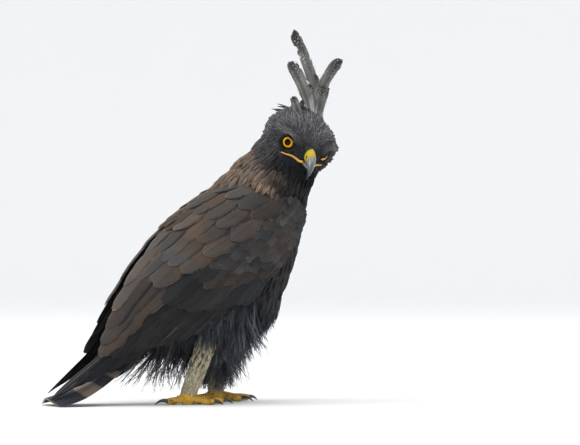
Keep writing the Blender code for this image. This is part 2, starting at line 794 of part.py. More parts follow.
def wing_vane(tier, i, side, rng):
    """One feather of a tier."""
    x = i / max(1, tier.count - 1)
    root = [a + (b - a) * x for a, b in zip(tier.first_root, tier.last_root)]
    tip = [a + (b - a) * x for a, b in zip(tier.first_tip, tier.last_tip)]
    tip[0] += math.sin(math.pi * x) * tier.bow + rng.uniform(-TIP_STRAY, TIP_STRAY)
    if side == LEFT:
        tip[0] -= LEFT_WING_DRAWN
    start = Vector((root[0], across_of(*root)))
    end = Vector((tip[0], across_of(*tip)))
    along = (end - start).normalized()
    aside = Vector((-along.y, along.x))
    sections = []
    for k in range(tier.segments + 1):
        share = (k / tier.segments) ** 0.85
        place = start.lerp(end, share)
        half = tier.width * vane_share(share) * 0.5
        offset = tier.root_offset
        offset += (tier.tip_offset - tier.root_offset) * min(1, share / RISE_SHARE)
        rise = math.tan(math.radians(tier.lift)) * half
        left, _ = wing_point(*(place - aside * half), offset - rise, side)
        middle, normal = wing_point(*place, offset, side)
        right, _ = wing_point(*(place + aside * half), offset + rise, side)
        sections.append((left, middle, right, normal, 1.0))
    return strip("vane", sections, VANE_THICKNESS)


def make_wing_body(side):
    """The folded arm under its coverts, a curved pad on the body's side."""
    outer, inner = [], []
    for s, top, bottom, thickness in WING_BODY:
        c_top, c_bottom = across_of(s, top), across_of(s, bottom)
        for k in range(WING_BODY_COLUMNS):
            x = k / (WING_BODY_COLUMNS - 1)
            c = c_top + (c_bottom - c_top) * x
            depth = thickness * (0.25 + 0.75 * math.sin(math.pi * x) ** 0.6)
            outer.append(wing_point(s, c, 0, side)[0])
            inner.append(wing_point(s, c, -depth, side)[0])
    rows, columns = len(WING_BODY), WING_BODY_COLUMNS
    shift = len(outer)
    faces = []
    for i in range(rows - 1):
        for k in range(columns - 1):
            a = i * columns + k
            b, c, d = a + 1, a + columns + 1, a + columns
            faces += [(a, b, c), (a, c, d)]
            faces += [(a + shift, c + shift, b + shift), (a + shift, d + shift, c + shift)]
    rim = [k for k in range(columns)]
    rim += [i * columns + columns - 1 for i in range(1, rows)]
    rim += [(rows - 1) * columns + k for k in range(columns - 2, -1, -1)]
    rim += [i * columns for i in range(rows - 2, 0, -1)]
    for a, b in zip(rim, rim[1:] + rim[:1]):
        faces += [(a, a + shift, b + shift), (a, b + shift, b)]
    return mesh_object("wing_body", outer + inner, faces)


def make_wing(nodes, side, name, seed):
    """A folded wing: the arm, and its feathers in tiers."""
    rng = random.Random(seed)
    body = make_wing_body(side)
    vanes = []
    for tier in (PRIMARIES, SECONDARIES, TERTIALS, GREATER_COVERTS) + SCAPULARS:
        vanes += [wing_vane(tier, i, side, rng) for i in range(tier.count)]
    body = fuse(body, vanes)
    body.name = name
    nodes[name] = cut(body, [grown_copy(nodes["torso"])])


# Tail

def tail_frame(x):
    """Middle point and dorsal direction of the tail at x (0 root, 1 tip), in (u, z)."""
    u, z = through(TAIL_LINE, x)
    u1, z1 = through(TAIL_LINE, min(1.0, x + 0.02))
    u0, z0 = through(TAIL_LINE, max(0.0, x - 0.02))
    along = Vector((u1 - u0, z1 - z0)).normalized()
    return u, z, Vector((along.y, -along.x))


def tail_vane(pair, side, rng):
    """One tail feather; pair 0 lies on top in the middle."""
    sections = []
    reach = 1.0 - 0.005 * pair - rng.uniform(0, TAIL_STRAY)
    order = pair if side == LEFT else pair + 0.5
    lift = TAIL_STEP * (TAIL_PAIRS - order) + TAIL_ARCH
    for k in range(TAIL_SEGMENTS + 1):
        x = k / TAIL_SEGMENTS * reach
        u, z, dorsal = tail_frame(x)
        spread = TAIL_HALF_SPREAD * pair / (TAIL_PAIRS - 1) * (0.25 + 0.75 * x ** 0.8)
        middle_v = side * (TAIL_MIDDLE + spread)
        half = TAIL_WIDTH * 0.5 * (0.5 + 0.5 * min(1, x * 2.2))
        if k == TAIL_SEGMENTS:
            half *= 0.6
        row = []
        for v in (middle_v - half, middle_v, middle_v + half):
            arch = -TAIL_ARCH * (v / (TAIL_HALF_SPREAD + TAIL_WIDTH / 2)) ** 2
            high = lift + arch - TAIL_STEP
            row.append(body_point(u + dorsal.x * high, v, z + dorsal.y * high))
        normal = body_point(dorsal.x, 0, dorsal.y)
        sections.append((row[0], row[1], row[2], normal, 1.0))
    return strip("tail_vane", sections, TAIL_THICKNESS)


def make_tail(nodes):
    """The tail: its root under the coverts, and twelve feathers laid down to the floor."""
    rng = random.Random(SEED + 3)
    rings = []
    for x, depth, width in TAIL_ROOT:
        u, z, dorsal = tail_frame(x)
        rise = (TAIL_STEP * TAIL_PAIRS + TAIL_ARCH) / 2
        centre = body_point(u + dorsal.x * rise, 0, z + dorsal.y * rise)
        rings.append(ellipse_ring(centre, body_point(dorsal.x, 0, dorsal.y),
                                  body_point(0, 1, 0), depth, width, 14))
    root = loft("tail", rings)
    vanes = [tail_vane(pair, side, rng) for pair in range(TAIL_PAIRS)
             for side in (LEFT, RIGHT)]
    fuse(root, vanes)
    cut(root, [grown_copy(nodes["torso"])])
    nodes["tail"] = below_plane(root, "tail", Vector((0, 0, 0)), Vector((0, 0, -1)))


# Locks

def make_lock(root, direction, outward, length, width, sag):
    """One ragged lock: a narrow tapered vane that bends down towards its tip."""
    steps = len(LOCK_SHARES) - 1
    point = root - outward * LOCK_ROOT
    ahead = direction.normalized()
    sections = []
    for k, share in enumerate(LOCK_SHARES):
        side = ahead.cross(outward).normalized()
        normal = side.cross(ahead).normalized()
        half = width * share * 0.5
        sections.append((point - side * half, point + side * half, normal,
                         1.0 if k < steps else 0.5))
        point = point + ahead * (length + LOCK_ROOT) / steps
        ahead = (ahead + Vector((0, 0, -sag))).normalized()
    return flat_strip("lock", sections, LOCK_THICKNESS)


# Legs and feet

def thigh_rings(side):
    """Rings of the thigh from the hip down to the heel."""
    hip = Vector(THIGH_HIP)
    heel = Vector((HEEL_U[side], HEEL_V, HEEL_Z))
    rings = []
    for i, (long_radius, short_radius) in enumerate(THIGH_RADII):
        x = i / (len(THIGH_RADII) - 1)
        place = hip.lerp(heel, x)
        centre = body_point(place.x, side * place.y, place.z)
        front = body_point(math.cos(THIGH_TILT), 0, math.sin(THIGH_TILT))
        rings.append(ellipse_ring(centre, front, body_point(0, 1, 0), long_radius,
                                  short_radius, 14))
    return rings


def make_thigh(nodes, side, name, seed):
    """A thigh with its ragged trousers."""
    rng = random.Random(seed)
    rings = thigh_rings(side)
    body = loft(name, rings)
    middles = [sum(ring, Vector()) / len(ring) for ring in rings]
    locks = []
    for level, count, front, rear, lean, first, last in TROUSERS[side]:
        for i in range(count):
            bearing = math.radians(first + (last - first) * i / (count - 1))
            outward = body_point(math.cos(bearing), side * math.sin(bearing), 0)
            ring = rings[level]
            place = max(ring, key=lambda p: (p - middles[level]).normalized().dot(outward))
            direction = Vector((0, 0, -1)) + outward * lean
            length = rear + (front - rear) * (1 + math.cos(bearing)) / 2
            size = length * rng.uniform(*TROUSER_STRAY)
            locks.append(make_lock(place, direction, outward, size, LOCK_WIDTH, TROUSER_SAG))
    fuse(body, locks)
    nodes[name] = cut(body, [grown_copy(nodes["torso"])])


def make_tarsus(nodes, side, name):
    """The feathered shank between the trousers and the foot."""
    foot = Vector((FOOT_U[side], FOOT_V, FOOT_TOP + GAP))
    heel = Vector((HEEL_U[side], HEEL_V, HEEL_Z))
    rings = []
    count = len(TARSUS_RADII)
    for i, radius in enumerate(TARSUS_RADII):
        place = foot.lerp(heel, i / (count - 1) * TARSUS_REACH)
        centre = body_point(place.x, side * place.y, place.z)
        rings.append(ellipse_ring(centre, body_point(1, 0, 0), body_point(0, 1, 0),
                                  radius * TARSUS_FLATTEN, radius, 14))
    shank = loft(name, rings)
    nodes[name] = cut(shank, [grown_copy(nodes["thigh" + name[len("tarsus"):]])])


def toe_path(side, bearing, length):
    """Points of a toe from the middle of the foot out to its end, arched a little."""
    angle = -side * math.radians(bearing)
    heading = body_point(math.cos(angle), -math.sin(angle), 0)
    centre = body_point(FOOT_U[side], side * FOOT_V, 0)
    points = [centre + heading * (TOE_START + reach * length) + Vector((0, 0, height))
              for reach, height in TOE_ARCH]
    return points, heading


def make_foot(nodes, side, suffix):
    """A foot of four toes on flat soles, and its claws."""
    centre = body_point(FOOT_U[side], side * FOOT_V, FOOT_PAD_HEIGHT)
    pad = ball("foot_" + suffix, centre, FOOT_PAD_RADIUS, 14, 8)
    toes, claws = [], []
    for toe_name, bearing, length, radius, claw_length in TOES:
        path, heading = toe_path(side, bearing, length)
        radii = [radius * share for share in TOE_SHARES]
        toes.append(tube("toe", path, radii, TOE_SIDES))
        claws.append((toe_name, path[-1], heading, claw_length))
    fuse(pad, toes)
    top = below_plane(pad, "foot", Vector((0, 0, FOOT_TOP)), Vector((0, 0, 1)))
    name = "foot_" + suffix
    nodes[name] = below_plane(top, name, Vector((0, 0, 0)), Vector((0, 0, -1)))
    for toe_name, tip, heading, claw_length in claws:
        points, radii = [], []
        point = tip - (heading + Vector((0, 0, math.tan(CLAW_PITCH)))).normalized() * 0.001
        for k in range(CLAW_STEPS + 1):
            x = k / CLAW_STEPS
            points.append(point)
            radii.append(CLAW_RADIUS * (1 - x) ** 0.75 + CLAW_TIP)
            pitch = CLAW_PITCH - CLAW_BEND * x
            ahead = heading * math.cos(pitch) + Vector((0, 0, math.sin(pitch)))
            point = point + ahead * claw_length / CLAW_STEPS
        lift = -CLAW_SINK - min(p.z - r for p, r in zip(points, radii))
        points = [p + Vector((0, 0, lift * (i / CLAW_STEPS))) for i, p in enumerate(points)]
        claw = tube("claw", points, radii, CLAW_SIDES)
        cut(claw, [grown_copy(nodes[name])])
        claw_name = f"claw_{suffix}_{toe_name}"
        nodes[claw_name] = below_plane(claw, claw_name, Vector((0, 0, 0)), Vector((0, 0, -1)))


def dress_torso(nodes):
    """Fuse the ragged locks of the belly and the vent to the torso."""
    rng = random.Random(SEED + 5)
    skin = surface_of(nodes["torso"])
    locks = []
    for reach, pitch, length, lean in BELLY_ROWS:
        for v in BELLY_LANES:
            inside = body_point(BELLY_CENTRE[0], v, BELLY_CENTRE[1])
            angle = math.radians(pitch)
            aim = body_point(math.cos(angle), 0, math.sin(angle))
            hit, outward, _, _ = skin.ray_cast(inside, aim)
            direction = Vector((0, 0, -1)) + outward * lean
            size = length * rng.uniform(*BELLY_STRAY)
            locks.append(make_lock(hit, direction, outward, size, LOCK_WIDTH, reach))
    fuse(nodes["torso"], locks)


def clear_scene():
    """Remove what the scene starts with."""
    for obj in list(bpy.data.objects):
        bpy.data.objects.remove(obj)


def main():
    """Build every node, in one collection, moved over the origin."""
    clear_scene()
    nodes = {}
    make_flesh(nodes)
    make_eyes(nodes)
    make_bill(nodes)
    make_wing(nodes, RIGHT, "wing_right", SEED)
    make_wing(nodes, LEFT, "wing_left", SEED + 1)
    make_tail(nodes)
    dress_torso(nodes)
    make_thigh(nodes, RIGHT, "thigh_right", SEED + 7)
    make_thigh(nodes, LEFT, "thigh_left", SEED + 8)
    make_tarsus(nodes, RIGHT, "tarsus_right")
    make_tarsus(nodes, LEFT, "tarsus_left")
    make_foot(nodes, RIGHT, "right")
    make_foot(nodes, LEFT, "left")
    for obj in [obj for obj in bpy.data.objects if obj not in nodes.values()]:
        bpy.data.objects.remove(obj)
    group = bpy.data.collections.new("long_crested_eagle")
    bpy.context.scene.collection.children.link(group)
    for name, obj in nodes.items():
        obj.name = name
        obj.data.name = name
        obj.data.materials.clear()
        obj.data.materials.append(material(name))
        obj.location = FOOTPRINT_SHIFT
        group.objects.link(obj)
    for mesh in list(bpy.data.meshes):
        if mesh.users == 0:
            bpy.data.meshes.remove(mesh)


main()
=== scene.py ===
"""Long-crested eagle: skin, plumage, eyes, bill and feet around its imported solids.

Metres, +Z up, in the solids' own frame. The bird is laid out in body axes (u forward, v to
its left, z up) and its head in head axes (f along the bill, l to its left, u to the crown).
"""

import logging
import math
from collections.abc import Sequence
from dataclasses import dataclass, field
from enum import Enum, IntEnum

import bmesh
import bpy
import numpy as np
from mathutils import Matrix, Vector
from mathutils.bvhtree import BVHTree
from mathutils.kdtree import KDTree

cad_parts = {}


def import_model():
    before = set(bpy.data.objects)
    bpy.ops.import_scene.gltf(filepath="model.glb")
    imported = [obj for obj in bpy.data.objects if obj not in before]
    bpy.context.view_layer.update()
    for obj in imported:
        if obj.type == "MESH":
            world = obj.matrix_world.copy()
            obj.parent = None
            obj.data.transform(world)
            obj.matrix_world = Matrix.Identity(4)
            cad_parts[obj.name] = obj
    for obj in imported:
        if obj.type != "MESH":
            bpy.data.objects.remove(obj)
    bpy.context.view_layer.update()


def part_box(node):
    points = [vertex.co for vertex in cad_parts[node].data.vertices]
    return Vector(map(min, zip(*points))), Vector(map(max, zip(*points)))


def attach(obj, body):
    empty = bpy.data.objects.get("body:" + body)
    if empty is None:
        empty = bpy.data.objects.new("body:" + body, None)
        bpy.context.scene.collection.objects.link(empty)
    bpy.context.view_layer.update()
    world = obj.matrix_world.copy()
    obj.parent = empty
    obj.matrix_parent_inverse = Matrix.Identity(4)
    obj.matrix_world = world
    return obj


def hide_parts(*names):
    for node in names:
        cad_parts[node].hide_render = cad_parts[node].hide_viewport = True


LOG = logging.getLogger("long_crested_eagle")
Array = np.ndarray
Colour = tuple[float, float, float]
RIGHT, LEFT = -1, 1
SIDES = ((RIGHT, "right"), (LEFT, "left"))
UP = np.array([0.0, 0.0, 1.0])
# Shoulder of the folded wing in body axes (u, z), and its slope
WING_START = (0.095, 0.245)
WING_PITCH = math.radians(37.7)
# Root of the bill in head axes (f, l, u)
BILL_ROOT = np.array([0.0125, 0.0, -0.004])
# Height of the soles
SOLE = 0.00005
# Line of the mouth from its corner to the bill: (f, l, u)
MOUTH_LINE = ((0.004, 0.03, -0.0139), (0.0071, 0.0246, -0.0133), (0.009, 0.0188, -0.0125),
    (0.0109, 0.0136, -0.0131), (0.0138, 0.0085, -0.0134), (0.0185, 0.0058, -0.0124))


class Region(IntEnum):
    """Parts of the skin, each with its own lie and colour of feathers."""
    TORSO = 0
    NECK = 1
    HEAD = 2
    THIGH = 3
    TARSUS = 4
    WING = 5
    RUMP = 6


class Template(Enum):
    """Shapes of the small feathers."""
    ROUND = "round"
    POINTED = "pointed"
    LOOSE = "loose"


# Small tools

def by_side(right: object, left: object) -> dict:
    """Make a dataclass field with one value for each side."""
    return field(default_factory=lambda: {RIGHT: right, LEFT: left})


def rgb(hex_colour: str) -> Colour:
    """Turn an sRGB hex string into a linear colour.

    Args:
        hex_colour: Six hex digits.

    Returns:
        Linear red, green and blue.
    """
    parts = [int(hex_colour[i:i + 2], 16) / 255 for i in (0, 2, 4)]
    low, high = [p / 12.92 for p in parts], [((p + 0.055) / 1.055) ** 2.4 for p in parts]
    return tuple(a if p <= 0.04045 else b for p, a, b in zip(parts, low, high))


def smooth(low: float, high: float, x: Array) -> Array:
    """Ease from 0 at low to 1 at high.

    Args:
        low: Where the step starts.
        high: Where it ends.
        x: Values.

    Returns:
        The eased values.
    """
    t = np.clip((x - low) / (high - low), 0.0, 1.0)
    return t * t * (3 - 2 * t)


def unit(vectors: Array) -> Array:
    """Scale vectors in rows to length one."""
    return vectors / np.maximum(np.linalg.norm(vectors, axis=-1, keepdims=True), 1e-12)


def through(points: Sequence[Sequence[float]], x: float) -> tuple[float, ...]:
    """Follow a Catmull-Rom curve through equally spaced tuples.

    Args:
        points: The tuples.
        x: Place from 0 to 1.

    Returns:
        The values there.
    """
    last = len(points) - 1
    place = min(max(x, 0.0), 1.0) * last
    i = min(int(place), last - 1)
    t = place - i
    p0, p1, p2, p3 = (points[min(max(i + k, 0), last)] for k in (-1, 0, 1, 2))
    return tuple(0.5 * (2 * b + (c - a) * t + (2 * a - 5 * b + 4 * c - d) * t * t
        + (3 * b - a - 3 * c + d) * t ** 3) for a, b, c, d in zip(p0, p1, p2, p3))


def full_turn(count: int) -> Array:
    """List equally spaced angles round a circle."""
    return np.linspace(0, 2 * math.pi, count, endpoint=False)


def link(obj: bpy.types.Object) -> bpy.types.Object:
    """Put an object into the scene."""
    bpy.context.scene.collection.objects.link(obj)
    return obj


def make_mesh(name: str, verts: Array, faces: Sequence[Sequence[int]]) -> bpy.types.Object:
    """Make a smooth mesh object with outward faces.

    Args:
        name: Name of the object.
        verts: Places, one a row.
        faces: Vertex numbers of each face.

    Returns:
        The object, in the scene.
    """
    mesh = bpy.data.meshes.new(name)
    mesh.from_pydata([tuple(v) for v in np.asarray(verts, float)], [], faces)
    work = bmesh.new()
    work.from_mesh(mesh)
    bmesh.ops.recalc_face_normals(work, faces=work.faces)
    work.to_mesh(mesh)
    work.free()
    mesh.shade_smooth()
    return link(bpy.data.objects.new(name, mesh))


def store(mesh: bpy.types.Mesh, name: str, values: Array) -> None:
    """Write numbers, vectors or, under the name tone, colours for the vertices.

    Args:
        mesh: The mesh.
        name: Name of the attribute.
        values: One row or number a vertex.
    """
    flat = np.asarray(values, np.float32)
    kind, key = ("FLOAT", "value") if flat.ndim == 1 else ("FLOAT_VECTOR", "vector")
    if name == "tone":
        kind, key = "FLOAT_COLOR", "color"
        flat = np.hstack([flat, np.ones((len(flat), 1), np.float32)])
    mesh.attributes.new(name, kind, "POINT").data.foreach_set(key, flat.ravel())


def paint(mesh: bpy.types.Mesh, first: Array, second: Array = 0.0, third: Array = 0.0) -> None:
    """Write the vane values that the finishes read."""
    store(mesh, "vane", np.stack(np.broadcast_arrays(first, second, third), axis=-1))


def read(data: bpy.types.bpy_prop_collection, key: str, width: int,
        kind: type = np.float32) -> Array:
    """Read a value of each item as rows of a width.

    Args:
        data: The items.
        key: Name of the value.
        width: Numbers an item.
        kind: Their type.

    Returns:
        One row an item.
    """
    values = np.zeros(len(data) * width, kind)
    data.foreach_get(key, values)
    return values.reshape(-1, width)


def corner_vertices(mesh: bpy.types.Mesh) -> Array:
    """List the vertex at each corner of the faces."""
    return read(mesh.loops, "vertex_index", 1, np.int32)[:, 0]


def places(mesh: bpy.types.Mesh) -> tuple[Array, Array]:
    """Read the places and normals of a mesh's vertices.

    Args:
        mesh: The mesh.

    Returns:
        Places and normals, in rows.
    """
    return (read(mesh.vertices, "co", 3).astype(float),
        read(mesh.vertex_normals, "vector", 3).astype(float))


def set_places(mesh: bpy.types.Mesh, points: Array) -> None:
    """Move a mesh's vertices."""
    mesh.vertices.foreach_set("co", points.astype(np.float32).ravel())
    mesh.update()


def settled(obj: bpy.types.Object, **options: object) -> bpy.types.Mesh:
    """Make a plain mesh of an object with its modifiers applied."""
    graph = bpy.context.evaluated_depsgraph_get()
    return bpy.data.meshes.new_from_object(obj.evaluated_get(graph), depsgraph=graph, **options)


def triangles(obj: bpy.types.Object) -> int:
    """Count an object's triangles."""
    return sum(len(face.vertices) - 2 for face in obj.data.polygons)


def ball(name: str, around: int, along: int, radius: float) -> bpy.types.Mesh:
    """Make a ball about the origin.

    Args:
        name: Name of the mesh.
        around: Faces round it.
        along: Faces from pole to pole.
        radius: Its radius.

    Returns:
        The mesh.
    """
    work, mesh = bmesh.new(), bpy.data.meshes.new(name)
    bmesh.ops.create_uvsphere(work, u_segments=around, v_segments=along, radius=radius)
    work.to_mesh(mesh)
    work.free()
    mesh.shade_smooth()
    return mesh


def quads(rings: int, sides: int, closed: bool = False) -> list[tuple[int, ...]]:
    """Join rings of points by faces.

    Args:
        rings: Number of rings.
        sides: Points in each.
        closed: Whether the last ring joins the first.

    Returns:
        Vertex numbers of each face.
    """
    pairs = [(i * sides, (i + 1) % rings * sides) for i in range(rings if closed else rings - 1)]
    return [(a + k, a + (k + 1) % sides, b + (k + 1) % sides, b + k) for a, b in pairs
        for k in range(sides)]


def blend(first: Array, second: Array, share: Array) -> Array:
    """Mix two colours or rows of colours by a share of the second one."""
    return np.asarray(first) * (1 - share) + np.asarray(second) * share


def write_unwrap(mesh: bpy.types.Mesh, uv: Array) -> None:
    """Give a mesh the map that its looks are baked on.

    Args:
        mesh: The mesh.
        uv: One row a vertex, or one a corner.
    """
    corners = corner_vertices(mesh)
    rows = uv if len(uv) == len(corners) else uv[corners]
    layer = mesh.uv_layers.new(name="OFBake")
    layer.data.foreach_set("uv", np.ascontiguousarray(rows, np.float32).ravel())


# Node graphs

@dataclass
class Value:
    """A socket's output, with maths written as Python expressions."""
    graph: "Graph"
    socket: bpy.types.NodeSocket

    def maths(self, operation: str, other: "Value | float", swap: bool = False) -> "Value":
        """Join two values by a Math node.

        Args:
            operation: The Math node's operation.
            other: The other value or number.
            swap: Whether the other one comes first.

        Returns:
            The result.
        """
        pair = (other, self) if swap else (self, other)
        return self.graph.node("ShaderNodeMath", {"operation": operation},
            {0: pair[0], 1: pair[1]})

    def __add__(self, other: "Value | float") -> "Value":
        """Sum."""
        return self.maths("ADD", other)

    def __sub__(self, other: "Value | float") -> "Value":
        """Difference."""
        return self.maths("SUBTRACT", other)

    def __rsub__(self, other: float) -> "Value":
        """Difference, reflected."""
        return self.maths("SUBTRACT", other, True)

    def __mul__(self, other: "Value | float") -> "Value":
        """Product."""
        return self.maths("MULTIPLY", other)

    __radd__, __rmul__ = __add__, __mul__

    def size(self) -> "Value":
        """Absolute value."""
        return self.graph.node("ShaderNodeMath", {"operation": "ABSOLUTE"}, {0: self})

    def wave(self) -> "Value":
        """Sine."""
        return self.graph.node("ShaderNodeMath", {"operation": "SINE"}, {0: self})

    def step(self, low: float, high: float) -> "Value":
        """Ease from 0 at low to 1 at high, held outside."""
        return self.graph.node("ShaderNodeMapRange",
            {"interpolation_type": "SMOOTHSTEP", "clamp": True},
            {"Value": self, "From Min": low, "From Max": high, "To Min": 0.0, "To Max": 1.0})


@dataclass
class Graph:
    """A node tree that is being built."""
    tree: bpy.types.NodeTree

    def node(self, kind: str, settings: dict | None = None, sockets: dict | None = None,
            output: str | int = 0) -> Value:
        """Add one node.

        Args:
            kind: The node's type.
            settings: Its properties, set first.
            sockets: Values, links or data for its inputs, by name or number.
            output: The output that is wanted.

        Returns:
            That output.
        """
        made = self.tree.nodes.new(kind)
        for key, value in (settings or {}).items():
            setattr(made, key, value)
        for key, value in (sockets or {}).items():
            if isinstance(value, Value):
                self.tree.links.new(value.socket, made.inputs[key])
            elif isinstance(value, tuple) and made.inputs[key].type == "RGBA":
                made.inputs[key].default_value = (*value, 1.0)
            else:
                made.inputs[key].default_value = value
        return Value(self, made.outputs[output]) if made.outputs else Value(self, None)

    def mix(self, share: "Value | float", low: "Value | Colour", high: "Value | Colour",
            way: str = "MIX") -> Value:
        """Mix two colours.

        Args:
            share: Share of the second one.
            low: First colour.
            high: Second colour.
            way: Blend type.

        Returns:
            The mixed colour.
        """
        return self.node("ShaderNodeMix",
            {"data_type": "RGBA", "blend_type": way, "clamp_factor": True},
            {0: share, 6: low, 7: high}, 2)

    def scaled(self, vector: Value, by: Value) -> Value:
        """Scale a vector or colour."""
        return self.node("ShaderNodeVectorMath", {"operation": "SCALE"}, {0: vector, "Scale": by})

    def attribute(self, name: str, output: str = "Vector") -> Value:
        """Read an attribute of the mesh."""
        return self.node("ShaderNodeAttribute", {"attribute_name": name}, {}, output)

    def parts(self, vector: Value) -> list[Value]:
        """Split a vector into its three numbers."""
        first = self.node("ShaderNodeSeparateXYZ", {}, {0: vector})
        return [Value(self, out) for out in first.socket.node.outputs]

    def noise(self, scale: float, detail: float = 3.0, stretch: tuple = (1.0, 1.0, 1.0),
            place: Value | None = None) -> Value:
        """Make noise in the object's own coordinates, or in those given.

        Args:
            scale: Waves a metre.
            detail: Octaves.
            stretch: Scale along each axis.
            place: Other coordinates.

        Returns:
            Noise from 0 to 1.
        """
        place = place or self.node("ShaderNodeTexCoord", {}, {}, "Object")
        turned = self.node("ShaderNodeMapping", {}, {"Vector": place, "Scale": stretch})
        return self.node("ShaderNodeTexNoise", {},
            {"Vector": turned, "Scale": scale, "Detail": detail}, 0)


@dataclass(frozen=True)
class Finish:
    """A material made of nodes: this base class wires the shader's end."""
    name: str
    roughness: float = 0.6
    specular: float = 0.4
    level: float = 1.0
    sheen: float = 0.0
    coat: float = 0.0
    bump: float = 0.3
    bump_depth: float = 0.0003

    def colour(self, graph: Graph) -> tuple[Value, Value]:
        """Make the colour and the height for the bump."""
        raise NotImplementedError

    def make(self) -> bpy.types.Material:
        """Build the material once.

        Returns:
            The material.
        """
        known = bpy.data.materials.get(self.name)
        if known:
            return known
        made = bpy.data.materials.new(self.name)
        made.use_nodes = True
        shader = made.node_tree.nodes["Principled BSDF"]
        graph = Graph(made.node_tree)
        colour, height = self.colour(graph)
        graph.tree.links.new(colour.socket, shader.inputs["Base Color"])
        bump = graph.node("ShaderNodeBump", {},
            {"Height": height, "Strength": self.bump, "Distance": self.bump_depth})
        graph.tree.links.new(bump.socket, shader.inputs["Normal"])
        wanted = {"Roughness": self.roughness, "Specular IOR Level": self.specular,
            "Sheen Weight": self.sheen, "Sheen Roughness": 0.5, "Coat Weight": self.coat,
            "Coat Roughness": 0.04}
        for name, value in wanted.items():
            shader.inputs[name].default_value = value
        return made


@dataclass(frozen=True)
class Plumage(Finish):
    """Feathers: a tone stored on the mesh, paler or worn at the rim, darker at the shaft."""
    rim: Colour = (1.9, 1.8, 1.7)
    rim_share: float = 0.35
    rim_start: float = 0.62
    shaft: Colour = (0.02, 0.018, 0.016)
    shaft_share: float = 0.4
    shaft_width: float = 0.1
    barbs: float = 70.0
    barb_share: float = 0.16
    spread: float = 0.5
    blotch: float = 0.0
    blotch_tint: Colour = (1.25, 1.02, 0.86)
    fleck: float = 0.0
    fleck_colour: Colour = rgb("c9c9c6")

    def shaft_line(self, side: Value) -> Value:
        """Give the shaft's strength at a share of the vane's half width."""
        return (1.0 - side.step(self.shaft_width * 0.4, self.shaft_width)) * self.shaft_share

    def colour(self, graph: Graph) -> tuple[Value, Value]:
        """Make the colour and the height for the bump.

        Args:
            graph: The material's nodes.

        Returns:
            Colour and height.
        """
        across, along, rim = graph.parts(graph.attribute("vane"))
        shade = graph.attribute("shade", "Fac")
        tone = graph.attribute("tone", "Color")
        side = across.size()
        barb = ((along * 1.0 + side * -0.45) * self.barbs + shade * 9.0).wave()
        grain = graph.noise(420.0, 3.0)
        broad = graph.noise(17.0, 2.0)
        light = (0.62 - self.spread * 0.5) + shade * self.spread + grain * 0.36 + broad * 0.4
        light = light * (1.0 + barb * self.barb_share) * self.level
        patch = graph.noise(48.0, 3.0)
        tinted = graph.mix(patch.step(0.46, 0.6) * self.blotch, tone,
            graph.mix(1.0, tone, self.blotch_tint, "MULTIPLY"))
        lit = graph.scaled(tinted, light)
        edge = rim.step(self.rim_start, 1.0) * self.rim_share * (0.25
            + patch.step(0.35, 0.65) * 0.75) * (0.4 + grain * 1.2)
        edged = graph.mix(edge, lit, graph.mix(1.0, lit, self.rim, "MULTIPLY"))
        if self.fleck:
            spots = graph.noise(700.0, 1.0).step(0.62, 0.66) * along.step(0.45, 0.75)
            edged = graph.mix(spots * self.fleck, edged, self.fleck_colour)
        middle = self.shaft_line(side) * (0.35 + shade * 0.65)
        return graph.mix(middle, edged, self.shaft), barb * 0.5 + middle * 2.0


@dataclass(frozen=True)
class TailPlumage(Plumage):
    """Tail feathers: grey with pale bands and a buff tip."""
    dark: Colour = rgb("3f4248")
    pale: Colour = rgb("a38f7f")
    tip: Colour = rgb("b5a38c")
    bands: tuple = ((0.43, 0.5), (0.61, 0.755))

    def colour(self, graph: Graph) -> tuple[Value, Value]:
        """Make the colour and the height for the bump.

        Args:
            graph: The material's nodes.

        Returns:
            Colour and height.
        """
        across, along, _ = graph.parts(graph.attribute("vane"))
        shade = graph.attribute("shade", "Fac")
        side = across.size()
        ragged = graph.noise(260.0, 3.0)
        place = along + (ragged - 0.5) * 0.022 - side * 0.014
        soft = 0.01
        banded = None
        for low, high in self.bands:
            band = place.step(low - soft, low + soft) * (1.0
                - place.step(high - soft, high + soft))
            banded = band if banded is None else banded + band
        barb = ((along + side * -0.3) * (self.barbs * 2.2)).wave()
        base = graph.mix(along.step(0.76, 0.98), self.dark, rgb("50545c"))
        toned = graph.mix(banded * 0.92, base, self.pale)
        tipped = graph.mix(along.step(0.975, 0.992) * 0.8, toned, self.tip)
        light = (0.84 + shade * 0.2) * (1.0 + barb * self.barb_share) * (0.8 + ragged * 0.4)
        lit = graph.scaled(tipped, light * self.level)
        middle = self.shaft_line(side)
        return graph.mix(middle, lit, self.shaft), barb * 0.5 + middle * 2.0


@dataclass(frozen=True)
class SkinFinish(Finish):
    """The skin under the coat, in the same markings as the feathers."""

    def colour(self, graph: Graph) -> tuple[Value, Value]:
        """Make the colour and the height for the bump.

        Args:
            graph: The material's nodes.

        Returns:
            Colour and height.
        """
        grain = graph.noise(700.0, 4.0)
        return graph.scaled(graph.attribute("tone", "Color"), 0.35 + grain * 0.5), grain


